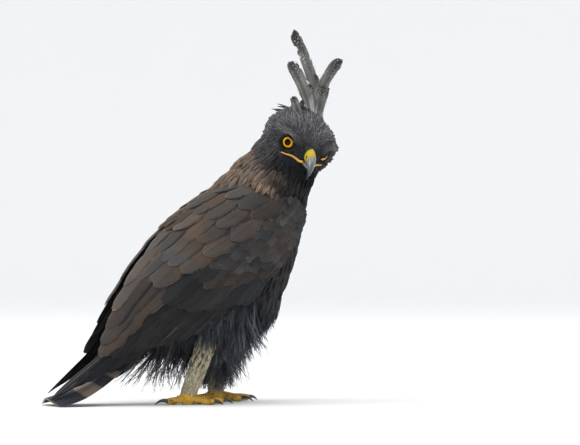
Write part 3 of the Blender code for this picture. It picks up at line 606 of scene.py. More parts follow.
@dataclass(frozen=True)
class Horn(Finish):
    """Horn, cere, gape and claws: two colours along the piece, with fine wear; the nostrils'
    hollows are painted near black as painted shade.
    """
    root: Colour = rgb("9aa6ac")
    end: Colour = rgb("3a4046")
    turn: tuple[float, float] = (0.45, 0.95)
    fleck: float = 0.25
    fleck_scale: float = 500.0
    streak: float = 0.0

    def colour(self, graph: Graph) -> tuple[Value, Value]:
        """Make the colour and the height for the bump.

        Args:
            graph: The material's nodes.

        Returns:
            Colour and height.
        """
        place = graph.attribute("vane")
        _, along, hollow_and_shade = graph.parts(place)
        worn = graph.noise(self.fleck_scale, 4.0)
        fine = graph.noise(self.fleck_scale * 4, 2.0, (1.0, 1.0, 0.25))
        lines = graph.noise(1.0, 3.0, (26.0, 2.2, 0.0), place)
        mixed = graph.mix((along + (worn - 0.5) * 0.25).step(*self.turn), self.root, self.end)
        mixed = graph.mix(lines.step(0.44, 0.62) * self.streak, mixed, self.end)
        light = ((1.0 - self.fleck) + (worn + fine) * self.fleck) * self.level
        lit = graph.scaled(mixed, light)
        # Painted shade: where the third vane value is high (the cere's nostrils) the colour is
        # mixed to near black
        return graph.mix(hollow_and_shade, lit, (0.004, 0.003, 0.002)), worn * 0.6 + fine * 0.4


@dataclass(frozen=True)
class ScaledSkin(Finish):
    """Toes: yellow skin, its creases between the scutes painted darker as painted shade, with pale
    spots painted as highlights.
    """
    roughness: float = 0.55
    specular: float = 0.25
    bump: float = 0.6
    bright: Colour = rgb("d3a428")
    # Colour of the painted shade in the creases
    crease: Colour = rgb("2b1f0e")
    # Pale colour of the painted highlights
    painted_highlight: Colour = rgb("efe3b4")

    def colour(self, graph: Graph) -> tuple[Value, Value]:
        """Make the colour and the height for the bump.

        Args:
            graph: The material's nodes.

        Returns:
            Colour and height.
        """
        depth, _, _ = graph.parts(graph.attribute("vane"))
        cells = graph.node("ShaderNodeTexVoronoi", {"feature": "DISTANCE_TO_EDGE"},
            {"Vector": graph.node("ShaderNodeTexCoord", {}, {}, "Object"), "Scale": 900.0},
            "Distance")
        edge = 1.0 - cells.step(0.02, 0.16)
        worn = graph.noise(300.0, 3.0)
        patch = graph.noise(190.0, 2.0)
        # Painted shade: creases and scale edges are darkened; the dark blotches are marks of the
        # skin itself
        crease_shade_and_marks = (depth.step(0.05, 0.8) * 0.95 + edge * 0.45) * (0.2 + worn * 1.2)
        crease_shade_and_marks = crease_shade_and_marks + patch.step(0.5, 0.68) * 0.55
        # Painted highlights: pale spots scattered over the toes
        shown = graph.mix(graph.noise(640.0, 2.0).step(0.5, 0.66) * 0.5, self.bright, self.painted_highlight)
        return graph.mix(crease_shade_and_marks, shown, self.crease), 1.0 - edge * 0.6 - depth * 0.4


@dataclass(frozen=True)
class IrisFinish(Finish):
    """The eyeball: black pupil, orange-yellow iris with rays, dark rim, dark ball."""
    roughness: float = 0.05
    specular: float = 0.1
    bump: float = 0.02
    pupil: float = 0.0032
    iris: float = 0.0067
    inner: Colour = rgb("f3b208")
    outer: Colour = rgb("d98c06")

    def colour(self, graph: Graph) -> tuple[Value, Value]:
        """Make the colour and the height for the bump.

        Args:
            graph: The material's nodes.

        Returns:
            Colour and height.
        """
        reach, turn, _ = graph.parts(graph.attribute("vane"))
        rays = (turn * 157.0).wave() * 0.5 + (turn * 251.0).wave() * 0.5
        ring = graph.mix(reach.step(self.pupil, self.iris), self.inner, self.outer)
        rayed = graph.mix(rays.step(0.2, 1.0) * 0.16, ring, rgb("8a4b04"))
        rimmed = graph.mix(reach.step(self.iris - 0.0005, self.iris), rayed, (0.006, 0.005, 0.005))
        hole = 1.0 - reach.step(self.pupil - 0.0001, self.pupil + 0.0001)
        return graph.mix(hole, rimmed, (0.002, 0.002, 0.002)), rays


@dataclass(frozen=True)
class PaleGround(Finish):
    """The plain pale floor and backdrop."""
    roughness: float = 0.9
    specular: float = 0.1
    bump: float = 0.0
    tint: Colour = (0.86, 0.86, 0.865)

    def colour(self, graph: Graph) -> tuple[Value, Value]:
        """Make the colour and the height for the bump."""
        grain = graph.noise(3.0, 2.0)
        return graph.mix(grain * 0.02, self.tint, (0.8, 0.8, 0.81)), grain


def dress(obj: bpy.types.Object, finish: Finish) -> bpy.types.Object:
    """Give an object its one finish.

    Args:
        obj: The object.
        finish: Its finish.

    Returns:
        The object.
    """
    obj.data.materials.clear()
    obj.data.materials.append(finish.make())
    return obj


# Where things are

@dataclass
class Stance:
    """Body and head axes of the standing bird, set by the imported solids."""
    heading: float = math.radians(22)
    eye_middle: Array = field(default_factory=lambda: np.array([0.1345, 0.023, 0.3]))
    eye_out: float = math.radians(46)
    gaze_out: dict = by_side(math.radians(42), math.radians(29))
    eye_radius: float = 0.0105
    iris_apart: float = 0.055

    def __post_init__(self) -> None:
        """Work out the head's axes and how far the solids stand from the design's origin."""
        self.forward = unit(np.array([0.286, -0.892, -0.35]))
        self.aside = unit(np.array([0.867, 0.394, -0.304]))
        self.crown = np.cross(self.forward, self.aside)
        self.shift = np.zeros(3)
        low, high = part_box("eye_right")
        self.shift = (np.array(low) + np.array(high)) / 2 - self.eye(RIGHT)[0]
        self.shift[2] = 0.0

    def body(self, u: Array, v: Array, z: Array) -> Array:
        """Place points given in body axes.

        Args:
            u: Forward.
            v: To the left.
            z: Up.

        Returns:
            World places, in rows.
        """
        u, v, z = np.broadcast_arrays(u, v, z)
        turned = np.stack([u * math.cos(self.heading) - v * math.sin(self.heading),
            u * math.sin(self.heading) + v * math.cos(self.heading), z], axis=-1)
        return turned + self.shift

    def aim(self, u: float, v: float, z: float) -> Array:
        """Turn a direction from body axes into the world's."""
        return self.body(u, v, z) - self.shift

    def head(self, f: Array, l: Array, u: Array) -> Array:
        """Place points given in head axes."""
        f, l, u = np.broadcast_arrays(f, l, u)
        return (self.eye_middle + self.shift + f[..., None] * self.forward
            + l[..., None] * self.aside + u[..., None] * self.crown)

    def in_head(self, points: Array) -> Array:
        """Read world places in head axes."""
        local = points - self.eye_middle - self.shift
        return np.stack([local @ self.forward, local @ self.aside, local @ self.crown], axis=-1)

    def in_body(self, points: Array) -> Array:
        """Read world places in body axes.

        Args:
            points: World places.

        Returns:
            Forward, left and up, in rows.
        """
        local = points - self.shift
        cos, sin = math.cos(self.heading), math.sin(self.heading)
        return np.stack([local[:, 0] * cos + local[:, 1] * sin, -local[:, 0] * sin
            + local[:, 1] * cos, local[:, 2]], axis=-1)

    def eye(self, side: int) -> tuple[Array, Array]:
        """Find an eye.

        Args:
            side: RIGHT or LEFT.

        Returns:
            Centre of the ball, and the direction it looks in.
        """
        look = (self.forward * math.cos(self.eye_out) + self.aside * side * math.sin(self.eye_out))
        iris = self.head(0, side * self.iris_apart / 2, 0)
        gaze = (self.forward * math.cos(self.gaze_out[side])
            + self.aside * side * math.sin(self.gaze_out[side]))
        return iris - look * self.eye_radius, gaze

    def from_eye(self, points: Array, side: int) -> tuple[Array, Array]:
        """Measure how far points are ahead of an eye and off its line of sight.

        Args:
            points: World places.
            side: RIGHT or LEFT.

        Returns:
            Distance ahead of it, and off the line.
        """
        centre, look = self.eye(side)
        away = points - centre
        ahead = away @ look
        return ahead, np.linalg.norm(away - ahead[:, None] * look, axis=1)


@dataclass
class WingSurface:
    """The folded wing's outer surface: s from the shoulder to the tips, c across it."""
    stance: Stance
    lower_tuck: float = 0.22
    lower_span: float = 0.06
    # (s, height of the back line, height of the widest line, half width of the bird)
    shape: tuple = ((-0.006, -0.024, 0.018, 0.05), (0.03, -0.044, 0.022, 0.064),
        (0.06, -0.05, 0.025, 0.069), (0.1, -0.052, 0.025, 0.07), (0.15, -0.047, 0.022, 0.0655),
        (0.185, -0.039, 0.02, 0.0575), (0.225, -0.025, 0.018, 0.048), (0.26, -0.01, 0.02, 0.04),
        (0.29, 0.0, 0.022, 0.034), (0.33, 0.004, 0.024, 0.028), (0.38, 0.008, 0.026, 0.023))

    def stations(self, s: Array) -> tuple[Array, Array, Array]:
        """Read back line, widest line and half width at s."""
        table = np.array(self.shape)
        return tuple(np.interp(s, table[:, 0], table[:, k]) for k in (1, 2, 3))

    def across(self, s: Array, r: Array) -> Array:
        """Turn a share r across the wing (-1 the back, 0 the widest line) into a distance.

        Args:
            s: Along the wing.
            r: Share across it.

        Returns:
            Distance from the widest line.
        """
        back, widest, half = self.stations(s)
        quarter = (widest - back + half) * math.pi / 4
        return np.where(np.asarray(r) >= 0, r * self.lower_span, r * quarter)

    def bare(self, s: Array, c: Array, side: int) -> Array:
        """Place points on the surface itself.

        Args:
            s: Along the wing.
            c: Across it.
            side: RIGHT or LEFT.

        Returns:
            World places.
        """
        back, widest, half = self.stations(s)
        quarter = (widest - back + half) * math.pi / 4
        angle = np.maximum(0.03, math.pi / 2 * (1 + c / quarter))
        t = np.where(c < 0, widest - (widest - back) * np.cos(angle), widest + c)
        v = np.where(c < 0, half * np.sin(angle),
            half * (1 - self.lower_tuck * (c / self.lower_span) ** 2))
        u = WING_START[0] - s * math.cos(WING_PITCH) + t * math.sin(WING_PITCH)
        z = WING_START[1] - s * math.sin(WING_PITCH) - t * math.cos(WING_PITCH)
        return self.stance.body(u, side * v, z)

    def place(self, s: Array, c: Array, offset: Array, side: int) -> tuple[Array, Array]:
        """Place points off the surface.

        Args:
            s: Along the wing.
            c: Across it.
            offset: Out from the surface.
            side: RIGHT or LEFT.

        Returns:
            Places and outward directions.
        """
        step = 0.002
        along = self.bare(s + step, c, side) - self.bare(s - step, c, side)
        across = self.bare(s, c + step, side) - self.bare(s, c - step, side)
        normal = unit(np.cross(along, across)) * -side
        outward = self.stance.aim(0, side, 0)
        wrong = ((normal @ outward) < 0) & (c > -0.02)
        normal = np.where(wrong[..., None], -normal, normal)
        return self.bare(s, c, side) + normal * np.asarray(offset)[..., None], normal


# Large feathers

@dataclass
class FeatherSheet:
    """Collects large feathers, each a closed thin vane, into one mesh."""
    verts: list = field(default_factory=list)
    faces: list = field(default_factory=list)
    vane: list = field(default_factory=list)
    shade: list = field(default_factory=list)
    tone: list = field(default_factory=list)
    cells: list = field(default_factory=list)
    count: int = 0

    def add(self, top: Array, normals: Array, thickness: float, vane: Array, tone: Array,
            shade: float) -> None:
        """Add one feather from a grid of its upper face.

        Args:
            top: Places, rows along and columns across.
            normals: Outward direction: one, or one for each row or grid point.
            thickness: Thickness at the shaft.
            vane: Across, along and nearness to the rim, for each column or grid point.
            tone: Colour: one, or one for each row or grid point.
            shade: Random number from 0 to 1.
        """
        rows, columns = top.shape[:2]
        normals, tone = (np.broadcast_to(v[:, None] if np.ndim(v) == 2 else v, top.shape)
            for v in (normals, tone))
        vane = np.broadcast_to(vane, top.shape)
        inner = slice(1, columns - 1)
        bottom = top[:, inner] - normals[:, inner] * thickness
        base = sum(len(v) for v in self.verts)
        upper = base + np.arange(rows * columns).reshape(rows, columns)
        start = base + rows * columns
        lower_inner = start + np.arange(rows * (columns - 2)).reshape(rows, columns - 2)
        lower = np.hstack([upper[:, :1], lower_inner, upper[:, -1:]])
        for grid, turn in ((upper, 1), (lower, -1)):
            quads = np.stack([grid[:-1, :-1], grid[:-1, 1:], grid[1:, 1:], grid[1:, :-1]],
                axis=-1).reshape(-1, 4)
            self.faces += [tuple(q[::turn]) for q in quads.tolist()]
        for row in (0, rows - 1):
            ring = upper[row].tolist() + lower_inner[row][::-1].tolist()
            self.faces.append(tuple(ring))
        self.verts += [top.reshape(-1, 3), bottom.reshape(-1, 3)]
        self.vane += [vane.reshape(-1, 3), vane[:, inner].reshape(-1, 3)]
        self.tone += [tone.reshape(-1, 3), tone[:, inner].reshape(-1, 3)]
        total = rows * columns + rows * (columns - 2)
        self.shade.append(np.full(total, shade))
        self.cells.append(np.full(total, self.count))
        self.count += 1

    def build(self, name: str, finish: Finish) -> bpy.types.Object:
        """Make the mesh, with each feather in its own cell of the baked map.

        Args:
            name: Name of the piece.
            finish: Its finish.

        Returns:
            The object.
        """
        made = make_mesh(name, np.vstack(self.verts), self.faces)
        mesh, vane = made.data, np.vstack(self.vane)
        store(mesh, "vane", vane)
        store(mesh, "shade", np.concatenate(self.shade))
        store(mesh, "tone", np.vstack(self.tone))
        side = max(1, math.ceil(math.sqrt(self.count)))
        cell = np.concatenate(self.cells)
        corner = np.stack([cell % side, cell // side], axis=-1)
        inside = np.stack([vane[:, 0] * 0.45 + 0.5, vane[:, 1] * 0.92 + 0.04], axis=-1)
        write_unwrap(mesh, (corner + inside) / side)
        return dress(made, finish)


def vane_outline(y: Array, tip: float, root: float = 0.45) -> Array:
    """Give the share of a vane's width along its length.

    Args:
        y: Along the feather, 0 to 1.
        tip: Where the rounding of the tip starts.
        root: Share at the root.

    Returns:
        Shares of the full width.
    """
    swell = root + (1 - root) * smooth(0.0, 0.35, y)
    cap = np.sqrt(np.clip(1 - (np.clip(y - tip, 0, None) / (1.004 - tip)) ** 2, 0.0, 1.0))
    return swell * np.maximum(cap, 0.05)


def vane_grid(cross: Array, y: Array, rim: Array) -> Array:
    """Stack across, along and nearness to the rim for a grid of rows y and columns cross."""
    return np.stack(np.broadcast_arrays(cross[None, :], y[:, None], rim), axis=-1)


def torn_vane(half: Array, cross: Array, torn: Array, whole_ends: bool) -> Array:
    """Spread a vane to both sides, its rims torn back in places.

    Args:
        half: Half width of each row.
        cross: Columns from -1 to 1.
        torn: Share torn off each row's two rims.
        whole_ends: Whether the first and last row stay whole.

    Returns:
        Distance from the shaft, row by row.
    """
    left = 1 - torn
    if whole_ends:
        left[0] = left[-1] = 1.0
    reach = np.where(cross[None, :] < 0, left[:, :1], left[:, 1:])
    return cross[None, :] * half[:, None] * np.where(np.abs(cross) > 0.99, reach, 1.0)


@dataclass(frozen=True)
class Tier:
    """One row of like feathers on the folded wing; roots and tips are (s, r)."""
    count: int
    first_root: tuple[float, float]
    last_root: tuple[float, float]
    first_tip: tuple[float, float]
    last_tip: tuple[float, float]
    bow: float
    width: float
    root_offset: float
    tip_offset: float
    lift: float
    tone: Colour
    tip_tone: Colour
    tip_shape: float = 0.72
    stray: float = 0.002


@dataclass
class WingPlumage:
    """The large feathers of both folded wings, tier over tier."""
    surface: WingSurface
    seed: int = 23
    rows: int = 22
    short_rows: int = 14
    columns: int = 7
    thickness: float = 0.0005
    left_drawn: float = 0.009
    torn_share: float = 0.14
    torn_depth: tuple[float, float] = (0.06, 0.26)
    camber: float = 0.07
    ridge: float = 0.00025
    curl: float = 0.0015
    first_root: float = -0.012
    flight: Plumage = Plumage("flight_feathers", roughness=0.52, specular=0.18, level=0.62,
        sheen=0.02, rim=(3.2, 3.0, 2.9), rim_share=0.8, rim_start=0.86, shaft=rgb("8f8b86"),
        shaft_share=0.8, shaft_width=0.045, barbs=260.0, barb_share=0.14, spread=0.6, blotch=0.5,
        blotch_tint=(1.6, 1.3, 1.08))
    covert: Plumage = Plumage("covert_feathers", roughness=0.58, specular=0.15, level=0.62,
        sheen=0.02, rim=(3.2, 3.0, 2.9), rim_share=0.85, rim_start=0.84, shaft=rgb("141211"),
        shaft_share=0.6, shaft_width=0.05, barbs=150.0, barb_share=0.22, spread=0.5, blotch=0.7,
        blotch_tint=(1.35, 1.15, 0.98))

    def tiers(self) -> dict[str, tuple[Tier, ...]]:
        """List the rows of feathers, lowest layer first.

        Returns:
            Rows by the piece that they belong to.
        """
        black, slate = rgb("202124"), rgb("2c2d31")
        brown, dusk, blue = rgb("554b44"), rgb("474240"), rgb("57595d")
        # Tips of the median and lesser covert rows at the back and at the breast: (s, r)
        ends = (((0.137, -0.24), (0.067, 0.52)), ((0.118, -0.27), (0.053, 0.48)),
            ((0.1, -0.29), (0.04, 0.44)), ((0.082, -0.3), (0.028, 0.38)),
            ((0.065, -0.3), (0.018, 0.32)), ((0.049, -0.3), (0.009, 0.26)),
            ((0.034, -0.28), (0.001, 0.18)))
        return {"primaries": (Tier(8, (0.176, -0.14), (0.168, 0.32), (0.364, -0.36), (0.282, 0.2),
            0.01, 0.0165, -0.0052, -0.0052, 11.0, black, slate, 0.8),),
            "secondaries": (Tier(11, (0.158, -0.28), (0.1, 0.4), (0.284, -0.12), (0.156, 0.79),
            0.016, 0.0215, -0.0032, -0.0018, 8.5, black, slate, 0.86, 0.004),),
            "tertials": (Tier(4, (0.15, -0.76), (0.146, -0.3), (0.24, -0.72), (0.292, -0.26),
            0.004, 0.024, -0.0008, 0.0012, 5.0, dusk, brown, 0.78, 0.004),),
            "greater_coverts": (Tier(9, (0.13, -0.26), (0.062, 0.36), (0.204, -0.18), (0.118, 0.7),
            0.008, 0.0225, -0.001, 0.0012, 7.0, rgb("282a2d"), rgb("2f3032"), 0.62, 0.006),
            Tier(10, (0.104, -0.24), (0.036, 0.32), (0.158, -0.18), (0.082, 0.56), 0.006, 0.019,
            -0.0002, 0.0012, 6.0, rgb("313234"), rgb("3b3836"), 0.56, 0.006)),
            "median_coverts": tuple(Tier(10 - k // 2, (back[0] - 0.032, back[1]),
            (front[0] - 0.028, front[1] * 0.8), back, front, 0.004, 0.0166 - 0.0009 * k, 0.0002,
            0.0014, 4.0, rgb("404041"), rgb("515152"), 0.52, 0.005)
            for k, (back, front) in enumerate(ends)),
            "scapulars": (Tier(5, (0.126, -0.86), (0.122, -0.38), (0.206, -0.83), (0.194, -0.38),
            0.0, 0.022, -0.0004, 0.0014, 3.0, brown, blue, 0.6, 0.007),
            Tier(5, (0.102, -0.87), (0.098, -0.3), (0.168, -0.87), (0.156, -0.31), 0.0, 0.0225,
            0.0002, 0.0018, 3.0, brown, blue, 0.56, 0.007),
            Tier(5, (0.074, -0.87), (0.07, -0.26), (0.134, -0.88), (0.122, -0.28), 0.0, 0.0235,
            0.0004, 0.002, 3.0, rgb("4f4741"), rgb("545250"), 0.54, 0.006),
            Tier(5, (0.044, -0.86), (0.04, -0.24), (0.098, -0.87), (0.09, -0.26), 0.0, 0.0235,
            0.0006, 0.0022, 3.0, rgb("504742"), rgb("514e4d"), 0.52, 0.005),
            Tier(4, (0.004, -0.78), (-0.002, -0.22), (0.062, -0.85), (0.054, -0.28), 0.0, 0.0235,
            0.0006, 0.0022, 3.0, rgb("534a43"), rgb("565150"), 0.5, 0.004))}

    def feather(self, sheet: FeatherSheet, tier: Tier, i: int, side: int,
            rng: np.random.Generator) -> None:
        """Add one feather of a tier.

        Args:
            sheet: Where it is collected.
            tier: Its row.
            i: Its number in the row.
            side: RIGHT or LEFT.
            rng: Random draws.
        """
        x = i / max(1, tier.count - 1)
        root = [a + (b - a) * x for a, b in zip(tier.first_root, tier.last_root)]
        tip = [a + (b - a) * x for a, b in zip(tier.first_tip, tier.last_tip)]
        tip[0] += math.sin(math.pi * x) * tier.bow + rng.uniform(-tier.stray, tier.stray)
        tip[1] += rng.uniform(-6, 6) * tier.stray
        if side == LEFT:
            tip[0] -= self.left_drawn * smooth(0.03, 0.15, np.array(tip[0])).item()
        root[0] = max(root[0], self.first_root)
        wide = tier.width * rng.uniform(0.9, 1.14)
        start = np.array([root[0], float(self.surface.across(*root))])
        end = np.array([tip[0], float(self.surface.across(*tip))])
        along = (end - start) / np.linalg.norm(end - start)
        aside = np.array([-along[1], along[0]])
        rows = self.rows if tier.width > 0.018 else self.short_rows
        y = np.linspace(0, 1, rows) ** 0.9
        cross = np.linspace(-1, 1, self.columns)
        half = wide * 0.5 * vane_outline(y, tier.tip_shape)
        torn = rng.random((rows, 2)) < self.torn_share
        spread = torn_vane(half, cross, torn * rng.uniform(*self.torn_depth, (rows, 2)), True)
        line = start + (end - start) * y[:, None]
        s = line[:, 0, None] + aside[0] * spread
        c = line[:, 1, None] + aside[1] * spread
        offset = tier.root_offset + (tier.tip_offset - tier.root_offset) * np.minimum(1, y * 1.6)
        rise = math.tan(math.radians(tier.lift + rng.uniform(-1, 1))) * spread
        camber = self.camber * half[:, None] * (1 - cross[None, :] ** 2)
        ridge = self.ridge * (np.abs(cross) < 0.01)[None, :]
        curl = self.curl * rng.uniform(-0.5, 1.0) * smooth(0.7, 1.0, y)[:, None]
        top, normals = self.surface.place(s, c, offset[:, None] + rise + camber + ridge + curl,
            side)
        vane = vane_grid(cross, y, np.maximum(np.abs(cross), smooth(0.86, 1.0, y)[:, None]))
        tint = smooth(0.35, 0.95, y)[:, None, None] * rng.uniform(0.1, 1.0)
        tone = blend(tier.tone, tier.tip_tone, tint)
        warm = rng.uniform(-0.12, 0.16)
        tone = tone * rng.uniform(0.76, 1.2) * np.array([1 + warm, 1 + warm * 0.3, 1 - warm * 0.4])
        sheet.add(top, normals, self.thickness, vane, tone, rng.random())

    def build(self) -> list[bpy.types.Object]:
        """Make every tier of both wings.

        Returns:
            The pieces.
        """
        made = []
        for side, word in SIDES:
            rng = np.random.default_rng(self.seed + side)
            for name, tiers in self.tiers().items():
                sheet = FeatherSheet()
                for tier in tiers:
                    for i in range(tier.count):
                        self.feather(sheet, tier, i, side, rng)
                plain = name in ("primaries", "secondaries")
                made.append(sheet.build(f"{name}_{word}", self.flight if plain else self.covert))
        return made


@dataclass
class TailPlumageSet:
    """Twelve tail feathers laid down to the floor, overlapping from the middle outwards."""
    stance: Stance
    # Middle line from the rump to the floor, in body axes (u, z)
    line: tuple = ((-0.046, 0.09), (-0.077, 0.059), (-0.109, 0.0315), (-0.144, 0.0105),
        (-0.18, -0.0004))
    pairs: int = 6
    width: float = 0.0235
    half_spread: float = 0.0245
    step: float = 0.0012
    arch: float = 0.003
    thickness: float = 0.0005
    seed: int = 5
    floor_gap: float = 0.0004
    finish: TailPlumage = TailPlumage("tail_feathers", roughness=0.55, specular=0.18, level=0.7,
        shaft=rgb("2b2826"), shaft_share=0.7, shaft_width=0.07, barbs=120.0, barb_share=0.07)

    def frame(self, x: float) -> tuple[float, float, Array]:
        """Find the middle line's place and dorsal direction at x.

        Args:
            x: From 0 at the root to 1 at the tip.

        Returns:
            u, z and the dorsal direction in (u, z).
        """
        u, z = through(self.line, x)
        u1, z1 = through(self.line, min(1.0, x + 0.02))
        u0, z0 = through(self.line, max(0.0, x - 0.02))
        ahead = unit(np.array([u1 - u0, z1 - z0]))
        return u, z, np.array([ahead[1], -ahead[0]])

    def build(self) -> list[bpy.types.Object]:
        """Make the tail.

        Returns:
            The piece, in a list.
        """
        rng = np.random.default_rng(self.seed)
        sheet = FeatherSheet()
        rows, columns = 34, 9
        cross = np.linspace(-1, 1, columns)
        for pair in range(self.pairs):
            for side in (LEFT, RIGHT):
                reach = 1.0 - 0.005 * pair - rng.uniform(0, 0.003)
                order = pair if side == LEFT else pair + 0.5
                lift = self.step * (self.pairs - order) + self.arch
                y = np.linspace(0, 1, rows)
                outline = vane_outline(y, 0.9, 0.5)
                top = np.zeros((rows, columns, 3))
                normals = np.zeros((rows, columns, 3))
                for k, share in enumerate(y):
                    x = share * reach
                    u, z, dorsal = self.frame(x)
                    spread = self.half_spread * pair / (self.pairs - 1) * (0.25 + 0.75 * x ** 0.8)
                    v = side * (0.0025 + spread) + cross * self.width / 2 * outline[k]
                    bend = -self.arch * (v / (self.half_spread + self.width / 2)) ** 2
                    high = lift + bend - self.step + 0.0006 * (1 - cross ** 2)
                    height = np.maximum(z + dorsal[1] * high, self.thickness + self.floor_gap)
                    top[k] = self.stance.body(u + dorsal[0] * high, v, height)
                    normals[k] = self.stance.aim(dorsal[0], 0, dorsal[1])
                vane = vane_grid(cross, y,
                    np.maximum(np.abs(cross), smooth(0.94, 1.0, y)[:, None]))
                sheet.add(top, normals, self.thickness, vane, np.array(self.finish.dark),
                    rng.random())
        return [sheet.build("tail_feathers", self.finish)]


@dataclass(frozen=True)
class Plume:
    """One crest plume: root on the crown, length, leans and bend in degrees, width."""
    f: float
    l: float
    length: float
    lean_x: float
    lean_y: float
    bend: float
    width: float
    twist: float = 0.0


@dataclass
class Crest:
    """The raised crest, plume by plume, each with loose barbs beyond its vane."""
    stance: Stance
    plumes: tuple[Plume, ...] = (Plume(-0.043, 0.0195, 0.114, -14.5, 2, -15, 0.0156, 30),
        Plume(-0.034, -0.003, 0.064, -21, -4, -12, 0.0156, -36),
        Plume(-0.048, 0.015, 0.0755, 21, 4, 21, 0.016, 38),
        Plume(-0.05, 0.023, 0.043, 14, 10, 8, 0.0135, 55),
        Plume(-0.046, 0.006, 0.046, 2, 12, 3, 0.013, -55),
        Plume(-0.04, 0.014, 0.038, 10, 4, 6, 0.0125, 20),
        Plume(-0.036, 0.003, 0.034, -10, 0, -6, 0.0115, -30),
        Plume(-0.028, -0.018, 0.021, -16, -6, -6, 0.01, -14),
        Plume(-0.033, -0.012, 0.013, 4, -4, 6, 0.007, 25),
        Plume(-0.044, -0.022, 0.022, -82, 8, -5, 0.0034, 10),
        Plume(-0.05, -0.016, 0.021, -76, 22, -8, 0.0034, -20),
        Plume(-0.047, -0.019, 0.019, -66, 14, -10, 0.003, 30),
        Plume(-0.052, -0.02, 0.017, -86, 10, -4, 0.003, -10))
    root: float = 0.005
    coat: float = 0.0016
    rows: int = 40
    columns: int = 7
    barbs: int = 150
    barb_width: float = 0.00042
    torn_share: float = 0.22
    torn_depth: tuple[float, float] = (0.1, 0.5)
    thickness: float = 0.0005
    seed: int = 41
    finish: Plumage = Plumage("crest_plumes", roughness=0.7, specular=0.1, level=0.72, sheen=0.05,
        rim=(1.7, 1.75, 1.8), rim_share=0.6, rim_start=0.25, shaft=rgb("352c27"), shaft_share=0.65,
        shaft_width=0.42, barbs=160.0, barb_share=0.3, spread=0.3, blotch=0.6,
        blotch_tint=(0.62, 0.6, 0.58), fleck=0.9)

    def spine(self, plume: Plume, crown: BVHTree) -> tuple[Array, Array, Array]:
        """Follow a plume from inside the crown to its tip.

        Args:
            plume: Its sizes.
            crown: The skin's surface.

        Returns:
            Places, directions across and facing directions, row by row.
        """
        lean = np.array([math.sin(math.radians(plume.lean_x)),
            math.sin(math.radians(plume.lean_y)), 1.0])
        above = self.stance.head(plume.f, plume.l, 0.09)
        hit = crown.ray_cast(Vector(above), Vector(-self.stance.crown))[0]
        point = np.array(hit) + self.stance.crown * self.coat - unit(lean) * self.root
        twist = math.radians(plume.twist)
        facing = unit(np.array([0.15 + math.sin(twist), -math.cos(twist), 0.1]))
        points, sides, normals = [], [], []
        step = (plume.length + self.root) / (self.rows - 1)
        for k in range(self.rows):
            x = k / (self.rows - 1)
            turn = math.radians(plume.lean_x + plume.bend * (x - 0.4) * 1.6)
            ahead = unit(
                np.array([math.sin(turn), math.sin(math.radians(plume.lean_y)), math.cos(turn)]))
            side = unit(np.cross(ahead, facing))
            points.append(point)
            sides.append(side)
            normals.append(np.cross(side, ahead))
            point = point + ahead * step
        return np.array(points), np.array(sides), np.array(normals)

    @staticmethod
    def half_width(plume: Plume, y: Array) -> Array:
        """Give half a plume's width along it: round-ended if broad, pointed if thin.

        Args:
            plume: Its sizes.
            y: Along it, 0 to 1.

        Returns:
            Half widths.
        """
        if plume.width < 0.006:
            return plume.width * 0.5 * (1 - y) ** 0.6 + 0.0002
        end = np.clip((1 - y) * plume.length / plume.width * 1.3, 0, 1)
        return plume.width * 0.5 * vane_outline(y, 0.98, 0.55) * np.sqrt(end * (2 - end)) + 0.0001

    def add_barbs(self, sheet: FeatherSheet, spine: Array, sides: Array, normals: Array,
            plume: Plume, tone: Array, rng: np.random.Generator) -> None:
        """Add the loose barbs at both edges of a plume.

        Args:
            sheet: Where they are collected.
            spine: The plume's places.
            sides: Its directions across.
            normals: Its facing directions.
            plume: Its sizes.
            tone: Colour for each row.
            rng: Random draws.
        """
        steps = np.linspace(0, 1, 4)
        for i in range(self.barbs):
            side = -1 if i % 2 else 1
            x = 0.05 + 0.84 * (i / self.barbs) + rng.uniform(-0.01, 0.01)
            row = min(self.rows - 2, max(1, int(x * (self.rows - 1))))
            half = self.half_width(plume, np.array([x])).item()
            ahead = unit(spine[row + 1] - spine[row - 1])
            out, deep = sides[row] * side, rng.uniform(-0.2, 1.1)
            reach = half * rng.uniform(0.35, 0.75) * (1.25 - 0.7 * x)
            line = np.array([spine[row] + out * (half * 0.66 + reach * t * 0.5)
                + ahead * reach * t * (0.7 + t) - normals[row] * (half * 0.3 + reach * t * deep)
                for t in steps])
            wide = unit(np.cross(ahead + out, normals[row])) * self.barb_width
            taper = (1.0, 0.9, 0.6, 0.15)
            top = np.stack([[p + wide * t * w for w in (-1, 0, 1)] for p, t in zip(line, taper)])
            sheet.add(top, normals[row], 0.0002, np.array([0.8, x, 0.9]), tone[row], rng.random())

    def build(self, crown: BVHTree) -> list[bpy.types.Object]:
        """Make the crest.

        Args:
            crown: The skin's surface.

        Returns:
            The piece, in a list.
        """
        rng = np.random.default_rng(self.seed)
        sheet = FeatherSheet()
        grey, dark, down = (np.array(rgb(c)) for c in ("8e8e8b", "4c4947", "dad9d6"))
        cross = np.linspace(-1, 1, self.columns)
        for plume in self.plumes:
            spine, sides, normals = self.spine(plume, crown)
            y = np.linspace(0, 1, self.rows)
            half = self.half_width(plume, y)
            torn = rng.random((self.rows, 2)) < self.torn_share
            torn = torn * rng.uniform(*self.torn_depth, (self.rows, 2))
            spread = torn_vane(half, cross, torn, False)
            curl = -0.55 * np.abs(spread) + 0.0003 * (np.abs(cross) < 0.01)
            top = (spine[:, None, :] + sides[:, None, :] * spread[..., None]
                + normals[:, None, :] * curl[..., None])
            vane = vane_grid(cross, y, np.abs(cross))
            worn = smooth(0.62, 0.95, y)[:, None]
            bottom = (1 - smooth(0.1, 0.34, y))[:, None]
            long = plume.length > 0.03 or plume.width > 0.008
            tone = np.broadcast_to(dark, (self.rows, 3))
            if long:
                tone = blend(blend(grey, dark, worn), down, bottom * 0.7)
            sheet.add(top, normals, self.thickness, vane, tone, rng.random())
            self.add_barbs(sheet, spine, sides, normals, plume, tone, rng)
        return [sheet.build("crest_plumes", self.finish)]


